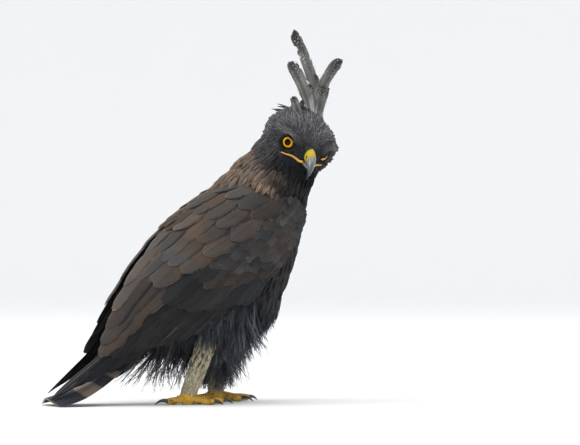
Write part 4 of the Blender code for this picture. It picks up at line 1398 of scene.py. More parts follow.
@dataclass
class LooseFeathers:
    """The long hanging feathers of belly, vent and trousers, each with its loose barbs."""
    stance: Stance
    skin: "Skin"
    # Trousers: (share down the thigh, lengths in front and behind, lean, bearings in degrees)
    trousers: dict = by_side(((0.22, 0.05, 0.054, 0.26, -45, 80),
        (0.5, 0.054, 0.058, 0.26, -45, 80), (0.78, 0.046, 0.046, 0.24, -50, 70)),
        ((0.22, 0.042, 0.056, 0.06, -30, 165), (0.5, 0.052, 0.078, 0.05, -60, 170),
        (0.86, 0.064, 0.082, 0.03, -175, 175)))
    heel: dict = by_side((0.8, 0.02, 0.022, 0.24, 80, 190), (0.92, 0.07, 0.074, 0.02, 110, 280))
    # Belly and vent: (direction from the belly's centre in degrees, length, lean, sag, drift)
    belly: tuple = ((-8, 0.026, 0.08, 0.05, 0.34), (-28, 0.03, 0.06, 0.05, 0.32),
        (-46, 0.033, 0.05, 0.04, 0.28), (-66, 0.038, 0.05, 0.04, 0.16),
        (-92, 0.05, 0.15, 0.03, 0.2), (-118, 0.062, 0.25, 0.01, 0.6), (-140, 0.07, 0.25, 0.0, 1.0))
    breeze: float = 0.05
    belly_centre: tuple[float, float] = (0.022, 0.128)
    half_width: float = 0.026
    counts: dict = by_side(160, 420)
    belly_count: int = 420
    rows: int = 8
    barbs: int = 14
    sunk: float = 0.003
    blade_width: float = 0.0013
    barb_widths: tuple[float, ...] = (0.00028, 0.00022, 0.00005)
    lowest: float = 0.015
    seed: int = 77
    # Pale bluish rims: partly pale feather edges, partly painted highlights of the sheen on the
    # strands
    finish: Plumage = Plumage("hanging_feathers", roughness=0.58, specular=0.2, level=0.8,
        sheen=0.03, rim=(1.6, 1.65, 1.75), rim_share=0.6, rim_start=0.4, shaft=rgb("0b0b0d"),
        shaft_share=0.2, barbs=60.0, spread=0.9)

    def feather(self, sheet: FeatherSheet, root: Array, ahead: Array, outward: Array,
            length: float, sag: float, tone: Array, rng: np.random.Generator) -> None:
        """Add one feather: a narrow blade and its barbs.

        Args:
            sheet: Where it is collected.
            root: Its root.
            ahead: Direction it leaves in.
            outward: Direction away from the body.
            length: Its length.
            sag: How much it bends down at each row.
            tone: Colour of each row.
            rng: Random draws.
        """
        ahead = unit(ahead + rng.normal(0, 0.07, 3))
        swing = rng.normal(0, 0.05, 3)
        point = root - outward * self.sunk
        points, sides, normals, aheads = [], [], [], []
        for _ in range(self.rows):
            side = unit(np.cross(ahead, outward))
            points.append(point)
            sides.append(side)
            normals.append(np.cross(side, ahead))
            aheads.append(ahead)
            point = point + ahead * (length + self.sunk) / (self.rows - 1)
            ahead = unit(ahead + UP * -sag + swing)
        points, sides, normals = np.array(points), np.array(sides), np.array(normals)
        points[:, 2] = np.maximum(points[:, 2], self.lowest)
        y = np.linspace(0, 1, self.rows)
        half = self.blade_width * rng.uniform(0.6, 1.3) * (1 - y ** 1.6) ** 0.8 + 0.0001
        cross = np.array([-1.0, 0.0, 1.0])
        top = points[:, None, :] + sides[:, None, :] * (half[:, None] * cross)[..., None]
        vane = vane_grid(cross * 0.6, y, np.abs(cross))
        shade = rng.random()
        sheet.add(top, normals, 0.0003, vane, tone, shade)
        steps, widths = np.array([0.0, 0.5, 1.0]), np.array(self.barb_widths)
        for i in range(self.barbs):
            row = 1 + int((self.rows - 2) * (i + rng.random()) / self.barbs)
            way = sides[row] * (1 if i % 2 else -1)
            reach = length * rng.uniform(0.1, 0.26)
            line = (points[row] + way * (reach * 0.26 * steps ** 0.6)[:, None]
                + aheads[row] * (reach * steps)[:, None]
                - UP * (reach * 0.16 * steps ** 2)[:, None])
            line[:, 2] = np.maximum(line[:, 2], self.lowest - 0.0008)
            thin = unit(np.cross(aheads[row] + way, normals[row]))
            hair = line[:, None, :] + thin * (widths[:, None] * cross)[..., None]
            sheet.add(hair, normals[row], 0.0002, vane[row], tone[row], shade)

    def thigh_root(self, side: int, share: float, bearing: float) -> tuple[Array, Array]:
        """Find a root on a thigh and the direction away from it.

        Args:
            side: RIGHT or LEFT.
            share: How far down the thigh.
            bearing: Radians outwards from the heading.

        Returns:
            Root and outward direction.
        """
        hip = np.array(self.skin.thigh_hip)
        long_radius, short_radius = through(self.skin.thigh_radii, share)
        u, v, z = hip + (self.skin.heel(side) - hip) * share
        outward = self.stance.aim(math.cos(bearing), side * math.sin(bearing), 0)
        root = self.stance.body(u + long_radius * 0.9 * math.cos(bearing),
            side * (v + short_radius * 0.9 * math.sin(bearing)), z)
        return root, outward

    def add_trousers(self, sheet: FeatherSheet, side: int, rng: np.random.Generator) -> None:
        """Hang the trousers of one leg.

        Args:
            sheet: Where they are collected.
            side: RIGHT or LEFT.
            rng: Random draws.
        """
        dark = np.array(rgb("595d64"))
        for i in range(self.counts[side]):
            x = rng.random() ** 0.6
            share, front, rear, lean, first, last = through(self.trousers[side], x)
            if i % 6 == 0 or (side == LEFT and i % 3 == 0):
                share, front, rear, lean, first, last = self.heel[side]
            bearing = math.radians(rng.uniform(first, last))
            root, outward = self.thigh_root(side, share + rng.uniform(-0.06, 0.06), bearing)
            length = rear + (front - rear) * (1 + math.cos(bearing)) / 2
            ahead = outward * lean - UP
            if side == LEFT:
                ahead[0] += self.breeze * (0.2 + math.cos(bearing)) / 1.2
            tone = np.tile(dark * rng.uniform(0.3, 1.7), (self.rows, 1))
            self.feather(sheet, root, ahead, outward, length * rng.uniform(0.8, 1.04), 0.04, tone,
                rng)

    def add_belly(self, sheet: FeatherSheet, skin: BVHTree, rng: np.random.Generator) -> None:
        """Hang the feathers of belly and vent, the vent's with pale bars.

        Args:
            sheet: Where they are collected.
            skin: The skin's surface.
            rng: Random draws.
        """
        dark, pale = np.array(rgb("505358")), np.array(rgb("e3dccf"))
        for _ in range(self.belly_count):
            pitch, length, lean, sag, drift = through(self.belly, rng.random())
            angle = math.radians(pitch + rng.uniform(-6, 6))
            v = rng.uniform(-1, 1) * self.half_width
            inside = self.stance.body(self.belly_centre[0], v * 0.9, self.belly_centre[1])
            aim = self.stance.aim(math.cos(angle), 0, math.sin(angle))
            hit, normal, _, _ = skin.ray_cast(Vector(inside), Vector(aim))
            if hit is None:
                continue
            outward = np.array(normal)
            ahead = outward * lean - UP - self.stance.aim(drift, 0, 0)
            tone = np.tile(dark * rng.uniform(0.3, 1.7), (self.rows, 1))
            if pitch < -112 and rng.random() < 0.5:
                bars = (np.arange(self.rows) % 3 != 2) & (np.arange(self.rows) > 4)
                tone[bars] = pale * rng.uniform(0.5, 1.0)
            self.feather(sheet, np.array(hit), ahead, outward, length * rng.uniform(0.7, 1.1), sag,
                tone, rng)

    def build(self, skin: BVHTree) -> list[bpy.types.Object]:
        """Make every hanging feather.

        Args:
            skin: The skin's surface.

        Returns:
            The pieces.
        """
        made = []
        for side, word in SIDES:
            sheet = FeatherSheet()
            self.add_trousers(sheet, side, np.random.default_rng(self.seed + side))
            made.append(sheet.build(f"trouser_feathers_{word}", self.finish))
        sheet = FeatherSheet()
        self.add_belly(sheet, skin, np.random.default_rng(self.seed + 5))
        made.append(sheet.build("vent_feathers", self.finish))
        return made


# Skin

@dataclass
class Form:
    """A closed form of the body: places, faces, lie of the coat and region."""
    verts: Array
    faces: list
    lie: Array
    region: Region


def loft(rings: Sequence[Array], lie_sign: int, region: Region) -> Form:
    """Join rings of points into a closed form.

    Args:
        rings: Places, ring by ring.
        lie_sign: 1 where the coat lies along the rings' order, -1 against it.
        region: The form's region.

    Returns:
        The form.
    """
    rings = np.asarray(rings)
    count, sides = rings.shape[:2]
    faces = quads(count, sides)
    ahead = np.gradient(rings, axis=0) * lie_sign
    verts = np.vstack([rings.reshape(-1, 3), rings[0].mean(0), rings[-1].mean(0)])
    lie = unit(np.vstack([ahead.reshape(-1, 3), ahead[0].mean(0), ahead[-1].mean(0)]))
    for ring, pole in ((0, count * sides), (count - 1, count * sides + 1)):
        for k in range(sides):
            faces.append((ring * sides + k, ring * sides + (k + 1) % sides, pole))
    return Form(verts, faces, lie, region)


def ring_of(centre: Array, up: Array, side: Array, high: float, wide: float,
        sides: int = 40) -> Array:
    """Place an ellipse of points.

    Args:
        centre: Its centre.
        up: Direction of the first axis.
        side: Direction of the second axis.
        high: Half size along up.
        wide: Half size along side.
        sides: Number of points.

    Returns:
        The points, in rows.
    """
    angle = full_turn(sides)[:, None]
    return centre + up * high * np.cos(angle) + side * wide * np.sin(angle)


@dataclass
class Skin:
    """One skin over torso, neck, head, thighs, shanks, arms and rump, under the coat."""
    stance: Stance
    surface: WingSurface
    # Rump to shoulders: (u, z, pitch in degrees, half depth, half width)
    torso: tuple = ((-0.066, 0.078, 30, 0.004, 0.004), (-0.06, 0.082, 32, 0.013, 0.014),
        (-0.047, 0.092, 35, 0.026, 0.025), (-0.03, 0.106, 39, 0.042, 0.033),
        (-0.003, 0.127, 45, 0.061, 0.04), (0.0272, 0.1537, 49, 0.085, 0.05),
        (0.0536, 0.1858, 53, 0.077, 0.055), (0.0764, 0.2195, 59, 0.064, 0.053),
        (0.0912, 0.2476, 64, 0.0535, 0.047), (0.104, 0.27, 68, 0.046, 0.044))
    # Shoulders into the head: (x, y, z, lean in degrees, half depth, half width)
    neck: tuple = ((0.085, 0.035, 0.244, 27, 0.054, 0.047),
        (0.093, 0.0385, 0.265, 24, 0.046, 0.047), (0.1075, 0.044, 0.286, 20, 0.039, 0.0415),
        (0.1135, 0.048, 0.303, 16, 0.034, 0.037), (0.116, 0.052, 0.317, 12, 0.022, 0.03))
    # Back of the head to the bill: (f, centre height, half width, half height)
    head: tuple = ((-0.07, 0.004, 0.004, 0.004), (-0.066, 0.004, 0.015, 0.014),
        (-0.056, 0.001, 0.032, 0.031), (-0.042, 0.001, 0.042, 0.037), (-0.026, 0.0, 0.045, 0.037),
        (-0.012, -0.001, 0.038, 0.035), (-0.003, -0.002, 0.0295, 0.0305),
        (0.004, -0.004, 0.0215, 0.0245), (0.01, -0.005, 0.0145, 0.018),
        (0.016, -0.006, 0.009, 0.012))
    # Brow ridge: (f, l, u, radius)
    brow: tuple = ((0.0128, 0.0118, 0.0036, 0.0018), (0.008, 0.0195, 0.008, 0.003),
        (0.0018, 0.0265, 0.0102, 0.0036), (-0.007, 0.0325, 0.011, 0.0038),
        (-0.016, 0.0375, 0.01, 0.0024))
    thigh_hip: tuple = (0.05, 0.032, 0.14)
    thigh_radii: tuple = ((0.024, 0.015), (0.031, 0.0185), (0.031, 0.019), (0.026, 0.018),
        (0.015, 0.014))
    tarsus_radii: tuple = (0.0088, 0.0098, 0.0104, 0.0112, 0.0118)
    foot_u: dict = by_side(-0.0175, 0.04)
    foot_v: float = 0.03
    heel_u: dict = by_side(0.0135, 0.048)
    heel_v: float = 0.032
    heel_z: float = 0.086
    foot_top: float = 0.013
    # Arm under its coverts: (s, upper edge r, lower edge r, thickness)
    arm: tuple = ((-0.003, -0.15, 0.0, 0.008), (0.01, -0.5, 0.3, 0.013),
        (0.032, -0.76, 0.52, 0.015), (0.062, -0.86, 0.66, 0.015), (0.1, -0.87, 0.64, 0.014),
        (0.14, -0.86, 0.56, 0.011), (0.172, -0.8, 0.4, 0.007), (0.2, -0.68, 0.16, 0.003))
    rump: tuple = ((0.0, 0.016, 0.019), (0.12, 0.014, 0.0195), (0.26, 0.0105, 0.019),
        (0.38, 0.0075, 0.017), (0.46, 0.004, 0.012))
    depth: dict = field(default_factory=lambda: {Region.TORSO: 0.0035, Region.NECK: 0.003,
        Region.HEAD: 0.0016, Region.THIGH: 0.002, Region.TARSUS: 0.0014, Region.WING: 0.0022,
        Region.RUMP: 0.002})
    # Flats pressed into the skull: (f, l, u, reach, depth)
    flats: tuple = ((-0.03, 0.0264, 0.0315, 0.016, 0.0046), (-0.03, -0.0264, 0.0315, 0.015, 0.003),
        (0.002, 0.0, 0.024, 0.014, 0.003))
    voxel: float = 0.0015
    least: float = 0.002
    # How far an eyeball stands out of the skin, and the reach of its orbit
    eye_stands: float = 0.0018
    orbit: tuple[float, float] = (0.007, 0.0112)
    most: int = 190000
    finish: SkinFinish = SkinFinish("skin", roughness=0.8, specular=0.2, bump=0.2)

    def forms(self, tail: "TailPlumageSet") -> list[Form]:
        """Lay out every form, drawn in by the depth of the coat.

        Args:
            tail: The tail, for its middle line.

        Returns:
            The forms.
        """
        made = [self.torso_form(), self.neck_form(), self.head_form()]
        for side in (RIGHT, LEFT):
            made += [self.brow_form(side), self.thigh_form(side), self.tarsus_form(side),
                self.arm_form(side)]
        made.append(self.rump_form(tail))
        return made

    def heel(self, side: int) -> Array:
        """Find a heel in body axes."""
        return np.array([self.heel_u[side], self.heel_v, self.heel_z])

    def foot(self, side: int, height: float) -> Array:
        """Place a point over the middle of a foot."""
        return self.stance.body(self.foot_u[side], side * self.foot_v, height)

    def drawn_in(self, region: Region, *sizes: float) -> tuple[float, ...]:
        """Take the depth of the coat off sizes."""
        return tuple(max(self.least, size - self.depth[region]) for size in sizes)

    def torso_form(self) -> Form:
        """Lay out the torso.

        Returns:
            The form.
        """
        rings = []
        for x in np.linspace(0, 1, 30):
            u, z, pitch, high, wide = through(self.torso, x)
            angle = math.radians(pitch)
            up = self.stance.aim(-math.sin(angle), 0, math.cos(angle))
            rings.append(ring_of(self.stance.body(u, 0, z), up, self.stance.aim(0, 1, 0),
                *self.drawn_in(Region.TORSO, high, wide)))
        return loft(rings, -1, Region.TORSO)

    def neck_form(self) -> Form:
        """Lay out the neck.

        Returns:
            The form.
        """
        rings = []
        for x in np.linspace(0, 1, 14):
            px, py, pz, lean, high, wide = through(self.neck, x)
            angle = math.radians(lean)
            along = unit(np.array([math.sin(angle), math.sin(angle) * 0.4, math.cos(angle)]))
            side = unit(np.cross(along, np.array([1.0, 0.0, 0.0])))
            up = np.cross(side, along)
            rings.append(ring_of(np.array([px, py, pz]) + self.stance.shift, up, side,
                *self.drawn_in(Region.NECK, wide, high)))
        return loft(rings, -1, Region.NECK)

    def head_form(self) -> Form:
        """Lay out the head.

        Returns:
            The form.
        """
        rings = []
        for x in np.linspace(0, 0.965, 26):
            f, height, wide, tall = through(self.head, x)
            rings.append(ring_of(self.stance.head(f, 0, height), self.stance.crown,
                self.stance.aside, *self.drawn_in(Region.HEAD, tall, wide)))
        return loft(rings, -1, Region.HEAD)

    def brow_form(self, side: int) -> Form:
        """Lay out a brow ridge.

        Args:
            side: RIGHT or LEFT.

        Returns:
            The form.
        """
        rings = []
        for x in np.linspace(0, 1, 11):
            f, l, u, radius = through(self.brow, x)
            rings.append(ring_of(self.stance.head(f, side * l, u - 0.0008), self.stance.crown,
                self.stance.forward + self.stance.aside * side, radius * 1.15, radius * 1.15, 14))
        return loft(rings, 1, Region.HEAD)

    def thigh_form(self, side: int) -> Form:
        """Lay out a thigh.

        Args:
            side: RIGHT or LEFT.

        Returns:
            The form.
        """
        hip = np.array(self.thigh_hip)
        tilt, rings = math.radians(20), []
        for x in np.linspace(0, 1, 12):
            radii = self.drawn_in(Region.THIGH, *through(self.thigh_radii, x))
            u, v, z = hip + (self.heel(side) - hip) * x
            rings.append(ring_of(self.stance.body(u, side * v, z),
                self.stance.aim(math.cos(tilt), 0, math.sin(tilt)), self.stance.aim(0, 1, 0),
                *radii, 28))
        return loft(rings, 1, Region.THIGH)

    def tarsus_form(self, side: int) -> Form:
        """Lay out a feathered shank.

        Args:
            side: RIGHT or LEFT.

        Returns:
            The form.
        """
        foot = np.array([self.foot_u[side], self.foot_v, self.foot_top - 0.003])
        heel = self.heel(side) + UP * 0.006
        rings = []
        for x in np.linspace(0, 1, 14):
            radius = through([(r,) for r in self.tarsus_radii], x)[0] - self.depth[Region.TARSUS]
            u, v, z = foot + (heel - foot) * x
            rings.append(ring_of(self.stance.body(u, side * v, z), np.array([1.0, 0.0, 0.0]),
                np.array([0.0, 1.0, 0.0]), radius * 1.12, radius, 24))
        return loft(rings, -1, Region.TARSUS)

    def arm_form(self, side: int) -> Form:
        """Lay out a folded arm: rings round its outer and inner face.

        Args:
            side: RIGHT or LEFT.

        Returns:
            The form.
        """
        rings, inset = [], self.depth[Region.WING]
        table = np.array(self.arm)
        share = np.linspace(0, 1, 20)
        for s in np.linspace(table[0, 0], table[-1, 0], 24):
            top, bottom, thick = (np.interp(s, table[:, 0], table[:, k]) for k in (1, 2, 3))
            c0 = float(self.surface.across(s, top)) + 0.002
            c1 = float(self.surface.across(s, bottom)) - 0.002
            c = c0 + (c1 - c0) * share
            deep = max(thick, 0.0045) * (0.25 + 0.75 * np.sin(math.pi * share) ** 0.6)
            outer, _ = self.surface.place(np.full_like(c, s), c, np.full_like(c, -inset), side)
            inner, _ = self.surface.place(np.full_like(c, s), c, -deep - 0.001, side)
            rings.append(np.vstack([outer, inner[::-1]]))
        return loft(rings, 1, Region.WING)

    def rump_form(self, tail: "TailPlumageSet") -> Form:
        """Lay out the root of the tail.

        Args:
            tail: The tail, for its middle line.

        Returns:
            The form.
        """
        rings = []
        for x in np.linspace(0, 1, 10):
            place, high, wide = through(self.rump, x)
            u, z, dorsal = tail.frame(place)
            rise = (tail.step * tail.pairs + tail.arch) / 2
            rings.append(ring_of(self.stance.body(u + dorsal[0] * rise, 0, z + dorsal[1] * rise),
                self.stance.aim(dorsal[0], 0, dorsal[1]), self.stance.aim(0, 1, 0),
                *self.drawn_in(Region.RUMP, high, wide), 24))
        return loft(rings, 1, Region.RUMP)

    def build(self, tail: "TailPlumageSet", marks: "Markings") -> bpy.types.Object:
        """Fuse the forms into one skin with its lie, sizes and colours.

        Args:
            tail: The tail, for its middle line.
            marks: Colours and sizes over the body.

        Returns:
            The skin.
        """
        forms = self.forms(tail)
        verts = np.vstack([form.verts for form in forms])
        faces, start = [], 0
        for form in forms:
            faces += [tuple(start + i for i in face) for face in form.faces]
            start += len(form.verts)
        rough = make_mesh("skin_forms", verts, faces)
        remesh = rough.modifiers.new("fuse", "REMESH")
        remesh.mode = "VOXEL"
        remesh.voxel_size = self.voxel
        ease = rough.modifiers.new("ease", "SMOOTH")
        ease.factor, ease.iterations = 0.5, 4
        mesh = settled(rough)
        bpy.data.objects.remove(rough)
        skin = link(bpy.data.objects.new("skin", mesh))
        mesh.name = "skin"
        mesh.shade_smooth()
        self.open_orbits(mesh)
        self.unwrap(skin)
        marks.write(mesh, forms)
        return dress(skin, self.finish)

    def open_orbits(self, mesh: bpy.types.Mesh) -> None:
        """Press the skull's flats, and sink the skin round each eye so that the ball lies open.

        Args:
            mesh: The skin.
        """
        points, normals = places(mesh)
        for f, l, u, reach, depth in self.flats:
            middle = self.stance.head(f, l, u)
            near = np.exp(-((points - middle) ** 2).sum(1) / reach ** 2)
            points -= normals * (near * depth)[:, None]
        for side in (RIGHT, LEFT):
            ahead, off = self.stance.from_eye(points, side)
            front = np.sqrt(np.clip(self.stance.eye_radius ** 2 - off ** 2, 0, None))
            sink = np.clip(ahead - (front - self.eye_stands), 0, None) * (ahead > 0)
            sink *= 1 - smooth(*self.orbit, off)
            points -= sink[:, None] * self.stance.eye(side)[1]
        set_places(mesh, points)

    def thin(self, skin: bpy.types.Object) -> None:
        """Bring the skin under the limit for one piece, once the coat has grown on it.

        Args:
            skin: The skin.
        """
        fewer = skin.modifiers.new("fewer", "DECIMATE")
        fewer.ratio = min(1.0, self.most / triangles(skin))
        mesh = settled(skin, preserve_all_data_layers=True)
        skin.modifiers.clear()
        full, skin.data = skin.data, mesh
        bpy.data.meshes.remove(full)
        mesh.name = "skin"

    @staticmethod
    def unwrap(skin: bpy.types.Object) -> None:
        """Unwrap the skin's own shape, for the coat and for the bake.

        Args:
            skin: The skin.
        """
        bpy.context.view_layer.objects.active = skin
        skin.select_set(True)
        skin.data.uv_layers.new(name="OFBake")
        bpy.ops.object.mode_set(mode="EDIT")
        bpy.ops.mesh.select_all(action="SELECT")
        bpy.ops.uv.smart_project(angle_limit=math.radians(66), island_margin=0.002)
        bpy.ops.object.mode_set(mode="OBJECT")
        skin.select_set(False)


@dataclass
class Markings:
    """Colours, sizes and lie of the feathers over the body, and where each kind grows."""
    stance: Stance
    mantle: Colour = rgb("6b5d51")
    neck_side: Colour = rgb("ae9a8a")
    crown: Colour = rgb("717174")
    face: Colour = rgb("22242b")
    throat: Colour = rgb("25282f")
    breast: Colour = rgb("454445")
    belly: Colour = rgb("4d5258")
    shank: Colour = rgb("ddd2b6")
    shank_streak: Colour = rgb("2b2722")
    arm: Colour = rgb("57575a")
    brow_patch: Colour = rgb("a1948b")
    # A point on the edge between brown nape and black throat (x, y, z)
    nape_edge: tuple[float, float, float] = (0.0745, 0.0, 0.302)
    nape_slope: float = 0.54
    ease_steps: int = 14
    # Round an eye: bare skin within the first distance, short feathers within the second
    eye_bare: float = 0.0086
    eye_close: float = 0.0125
    bill_close: float = 0.017
    mouth_bare: float = 0.0031
    eye_shrink: tuple[float, float] = (0.0085, 0.02)

    def write(self, mesh: bpy.types.Mesh, forms: list[Form]) -> None:
        """Store everything that the coat reads on the skin.

        Args:
            mesh: The skin.
            forms: The forms it was fused from.
        """
        points, normals = places(mesh)
        owner, lie = self.inherit(points, forms)
        edges = read(mesh.edges, "vertices", 2, np.int32)
        for _ in range(self.ease_steps):
            total = self.with_neighbours(lie, edges)
            total -= normals * (total * normals).sum(1, keepdims=True)
            lie = unit(total)
        region = np.stack([owner == k for k in Region], axis=-1).astype(float)
        near = self.with_neighbours(np.ones((len(region), 1)), edges)
        for _ in range(self.ease_steps // 2):
            region = self.with_neighbours(region, edges) / near
        tone = self.tone(points, normals, region)
        size = self.size(points, region)
        lie = self.hang(points, normals, lie, region)
        store(mesh, "lie", lie)
        store(mesh, "tone", tone)
        store(mesh, "size", size)
        for name, mask in self.tracts(points, normals, region).items():
            store(mesh, name, mask)

    @staticmethod
    def with_neighbours(values: Array, edges: Array) -> Array:
        """Add to each vertex's values those of its neighbours.

        Args:
            values: One row a vertex.
            edges: Pairs of vertices.

        Returns:
            The sums.
        """
        total = values.copy()
        np.add.at(total, edges[:, 0], values[edges[:, 1]])
        np.add.at(total, edges[:, 1], values[edges[:, 0]])
        return total

    @staticmethod
    def inherit(points: Array, forms: list[Form]) -> tuple[Array, Array]:
        """Give each skin point the region and lie of the nearest form.

        Args:
            points: The skin's places.
            forms: The forms.

        Returns:
            Region and lie for each point.
        """
        verts = np.vstack([form.verts for form in forms])
        lies = np.vstack([form.lie for form in forms])
        regions = np.concatenate([np.full(len(form.verts), form.region) for form in forms])
        tree = KDTree(len(verts))
        for i, vert in enumerate(verts):
            tree.insert(vert, i)
        tree.balance()
        near = np.array([tree.find(p)[1] for p in points])
        return regions[near], lies[near]

    def tone(self, points: Array, normals: Array, region: Array) -> Array:
        """Colour the body, with painted light on the top of the crown.

        Args:
            points: Places.
            normals: Outward directions.
            region: Share of each region.

        Returns:
            Linear colours.
        """
        head = self.stance.in_head(points)
        body = self.stance.in_body(points)
        f, l, u = head.T
        dorsal = normals @ self.stance.aim(-0.8, 0, 0.6)
        back = smooth(-0.15, 0.45, dorsal)[:, None]
        low = smooth(0.165, 0.11, body[:, 2])[:, None]
        torso = blend(self.breast, self.belly, low)
        high = smooth(0.205, 0.275, body[:, 2])[:, None] * 0.35
        torso = blend(torso, blend(self.mantle, self.neck_side, high), back)
        beyond = points - self.stance.shift - np.array(self.nape_edge)
        nape = smooth(0.006, -0.009, beyond[:, 0] + beyond[:, 2] * self.nape_slope)[:, None]
        above = smooth(0.45, 0.85, dorsal)[:, None] * 0.8
        neck = blend(blend(self.throat, self.crown, above), self.neck_side, nape)
        under = smooth(-0.006, -0.022, u)[:, None]
        front = (smooth(-0.02, 0.004, f) * smooth(0.012, 0.002, u))[:, None]
        # Painted light: the crown is painted paler towards its top, where the light falls
        lit = 1 + 0.6 * smooth(0.006, 0.026, u)[:, None]
        skull = blend(np.array(self.crown) * lit, self.throat, under)
        skull = blend(skull, self.face, front * 0.8)
        for side in (RIGHT, LEFT):
            near = np.exp(-((f + 0.012) ** 2 + (l - side * 0.036) ** 2 + (u - 0.017) ** 2)
                / 0.0055 ** 2)[:, None]
            skull = blend(skull, self.brow_patch, near * 0.7)
        legs = np.broadcast_to(np.array(self.belly), torso.shape)
        lean = points[:, 0] * 0.83 - points[:, 2] * 0.55
        streak = np.sin(lean * 1250 + 1.8 * np.sin(points[:, 2] * 190 + points[:, 1] * 320))
        streak = streak + 0.5 * np.sin(points[:, 2] * 340 + points[:, 0] * 610)
        streak = smooth(0.1, 0.9, streak) * (0.35 + 0.55 * smooth(0.03, 0.055, body[:, 2]))
        streak = streak * (1 - 0.8 * smooth(0.35, 0.85, normals @ self.stance.aim(1, 0, 0)))
        shank = blend(self.shank, self.shank_streak, streak[:, None])
        arm = np.array(self.arm) * (0.9 + 0.25 * back)
        rump = np.broadcast_to(np.array(self.breast), torso.shape)
        table = np.stack([torso, neck, skull, legs, shank, arm, rump], axis=1)
        colour = (table * region[:, :, None]).sum(1)
        ripple = (np.sin(points[:, 0] * 310 + points[:, 2] * 190)
            * np.sin(points[:, 1] * 270 - points[:, 2] * 240))
        return np.clip(colour * (1 + 0.1 * ripple[:, None]), 0, 1)

    def size(self, points: Array, region: Array) -> Array:
        """Set the feathers' width, length and length again (for the scale's third axis).

        Args:
            points: Places.
            region: Share of each region.

        Returns:
            Sizes in metres.
        """
        head = self.stance.in_head(points)
        body = self.stance.in_body(points)
        low = smooth(0.175, 0.12, body[:, 2])
        bill = np.linalg.norm(head - BILL_ROOT, axis=1)
        face = smooth(0.03, 0.006, bill)
        near = np.ones(len(points))
        for side in (RIGHT, LEFT):
            ahead, off = self.stance.from_eye(points, side)
            near *= np.where(ahead > 0, 0.26 + 0.74 * smooth(*self.eye_shrink, off), 1.0)
        full = np.ones(len(points))
        wide = np.stack([0.0058 - 0.001 * low, 0.0034 * full, 0.0027 - 0.0015 * face, 0.005 * full,
            0.0026 * full, 0.01 * full, 0.0105 * full], axis=-1)
        long = np.stack([0.019 + 0.013 * low, 0.016 * full, 0.0096 - 0.0066 * face, 0.03 * full,
            0.0085 * full, 0.015 * full, 0.028 * full], axis=-1)
        width = (wide * region).sum(1) * (0.5 + near * 0.5)
        length = (long * region).sum(1) * near
        return np.stack([width, length, length], axis=-1)

    def hang(self, points: Array, normals: Array, lie: Array, region: Array) -> Array:
        """Let the loose feathers of the belly and thighs hang down.

        Args:
            points: Places.
            normals: Outward directions.
            lie: Lie so far.
            region: Share of each region.

        Returns:
            The lie.
        """
        body = self.stance.in_body(points)
        loose = np.clip(region[:, Region.THIGH]
            + smooth(0.15, 0.1, body[:, 2]) * region[:, Region.TORSO], 0, 1)[:, None]
        down = normals * 0.3 - UP
        return unit(blend(lie, down, loose))

    def tracts(self, points: Array, normals: Array, region: Array) -> dict[str, Array]:
        """Say where each kind of feather grows.

        Args:
            points: Places.
            normals: Outward directions.
            region: Share of each region.

        Returns:
            Density from 0 to 1 by the name of the tract.
        """
        head = self.stance.in_head(points)
        body = self.stance.in_body(points)
        f, l, u = head.T
        bare, close = np.ones(len(points)), np.zeros(len(points), bool)
        for side in (RIGHT, LEFT):
            ahead, off = self.stance.from_eye(points, side)
            bare *= 1 - ((off < self.eye_bare) & (ahead > 0.002))
            close |= (off < self.eye_close) & (ahead > 0)
        bare *= 1 - ((f > 0.0125) & (np.abs(l) < 0.0065) & (u > -0.012) & (u < 0.0045))
        owned = {kind: region[:, kind] > 0.5 for kind in Region}
        skull, torso = owned[Region.HEAD], owned[Region.TORSO]
        bill = np.linalg.norm(head - BILL_ROOT, axis=1)
        face = skull & ((bill < self.bill_close) | close)
        for side in (RIGHT, LEFT):
            line = self.stance.head(
                *(np.array([p[k] * (side if k == 1 else 1) for p in MOUTH_LINE])
                for k in range(3)))
            fine = np.concatenate([line[:-1] + (line[1:] - line[:-1]) * t
                for t in np.linspace(0, 1, 8)])
            gap = np.linalg.norm(points[:, None, :] - fine[None, :, :], axis=2).min(1)
            bare = bare * (gap > self.mouth_bare)
        hidden = torso & (np.abs(body[:, 1]) > 0.03) & (body[:, 2] > 0.135) & (body[:, 0] < 0.075)
        belly = (torso & (body[:, 2] < 0.138)) | owned[Region.THIGH]
        mantle = torso & ~hidden & (normals @ self.stance.aim(-0.75, 0, 0.66) > 0.35) & ~belly
        outward = np.abs(normals @ self.stance.aim(0, 1, 0)) + np.abs(
            normals @ self.stance.aim(-0.6, 0, 0.8))
        along = ((WING_START[0] - body[:, 0]) * math.cos(WING_PITCH)
            + (WING_START[1] - body[:, 2]) * math.sin(WING_PITCH))
        return {"grow_face": face * bare, "grow_head": skull * ~face * bare,
            "grow_neck": owned[Region.NECK] * bare,
            "grow_body": (torso & ~belly & ~hidden & ~mantle) * 1.0, "grow_mantle": mantle * 1.0,
            "grow_belly": belly * 1.0, "grow_shank": owned[Region.TARSUS] * 1.0,
            "grow_arm": owned[Region.WING] * (outward > 0.45) * (along < 0.05),
            "grow_rump": owned[Region.RUMP] * 1.0}


# Coat of small feathers

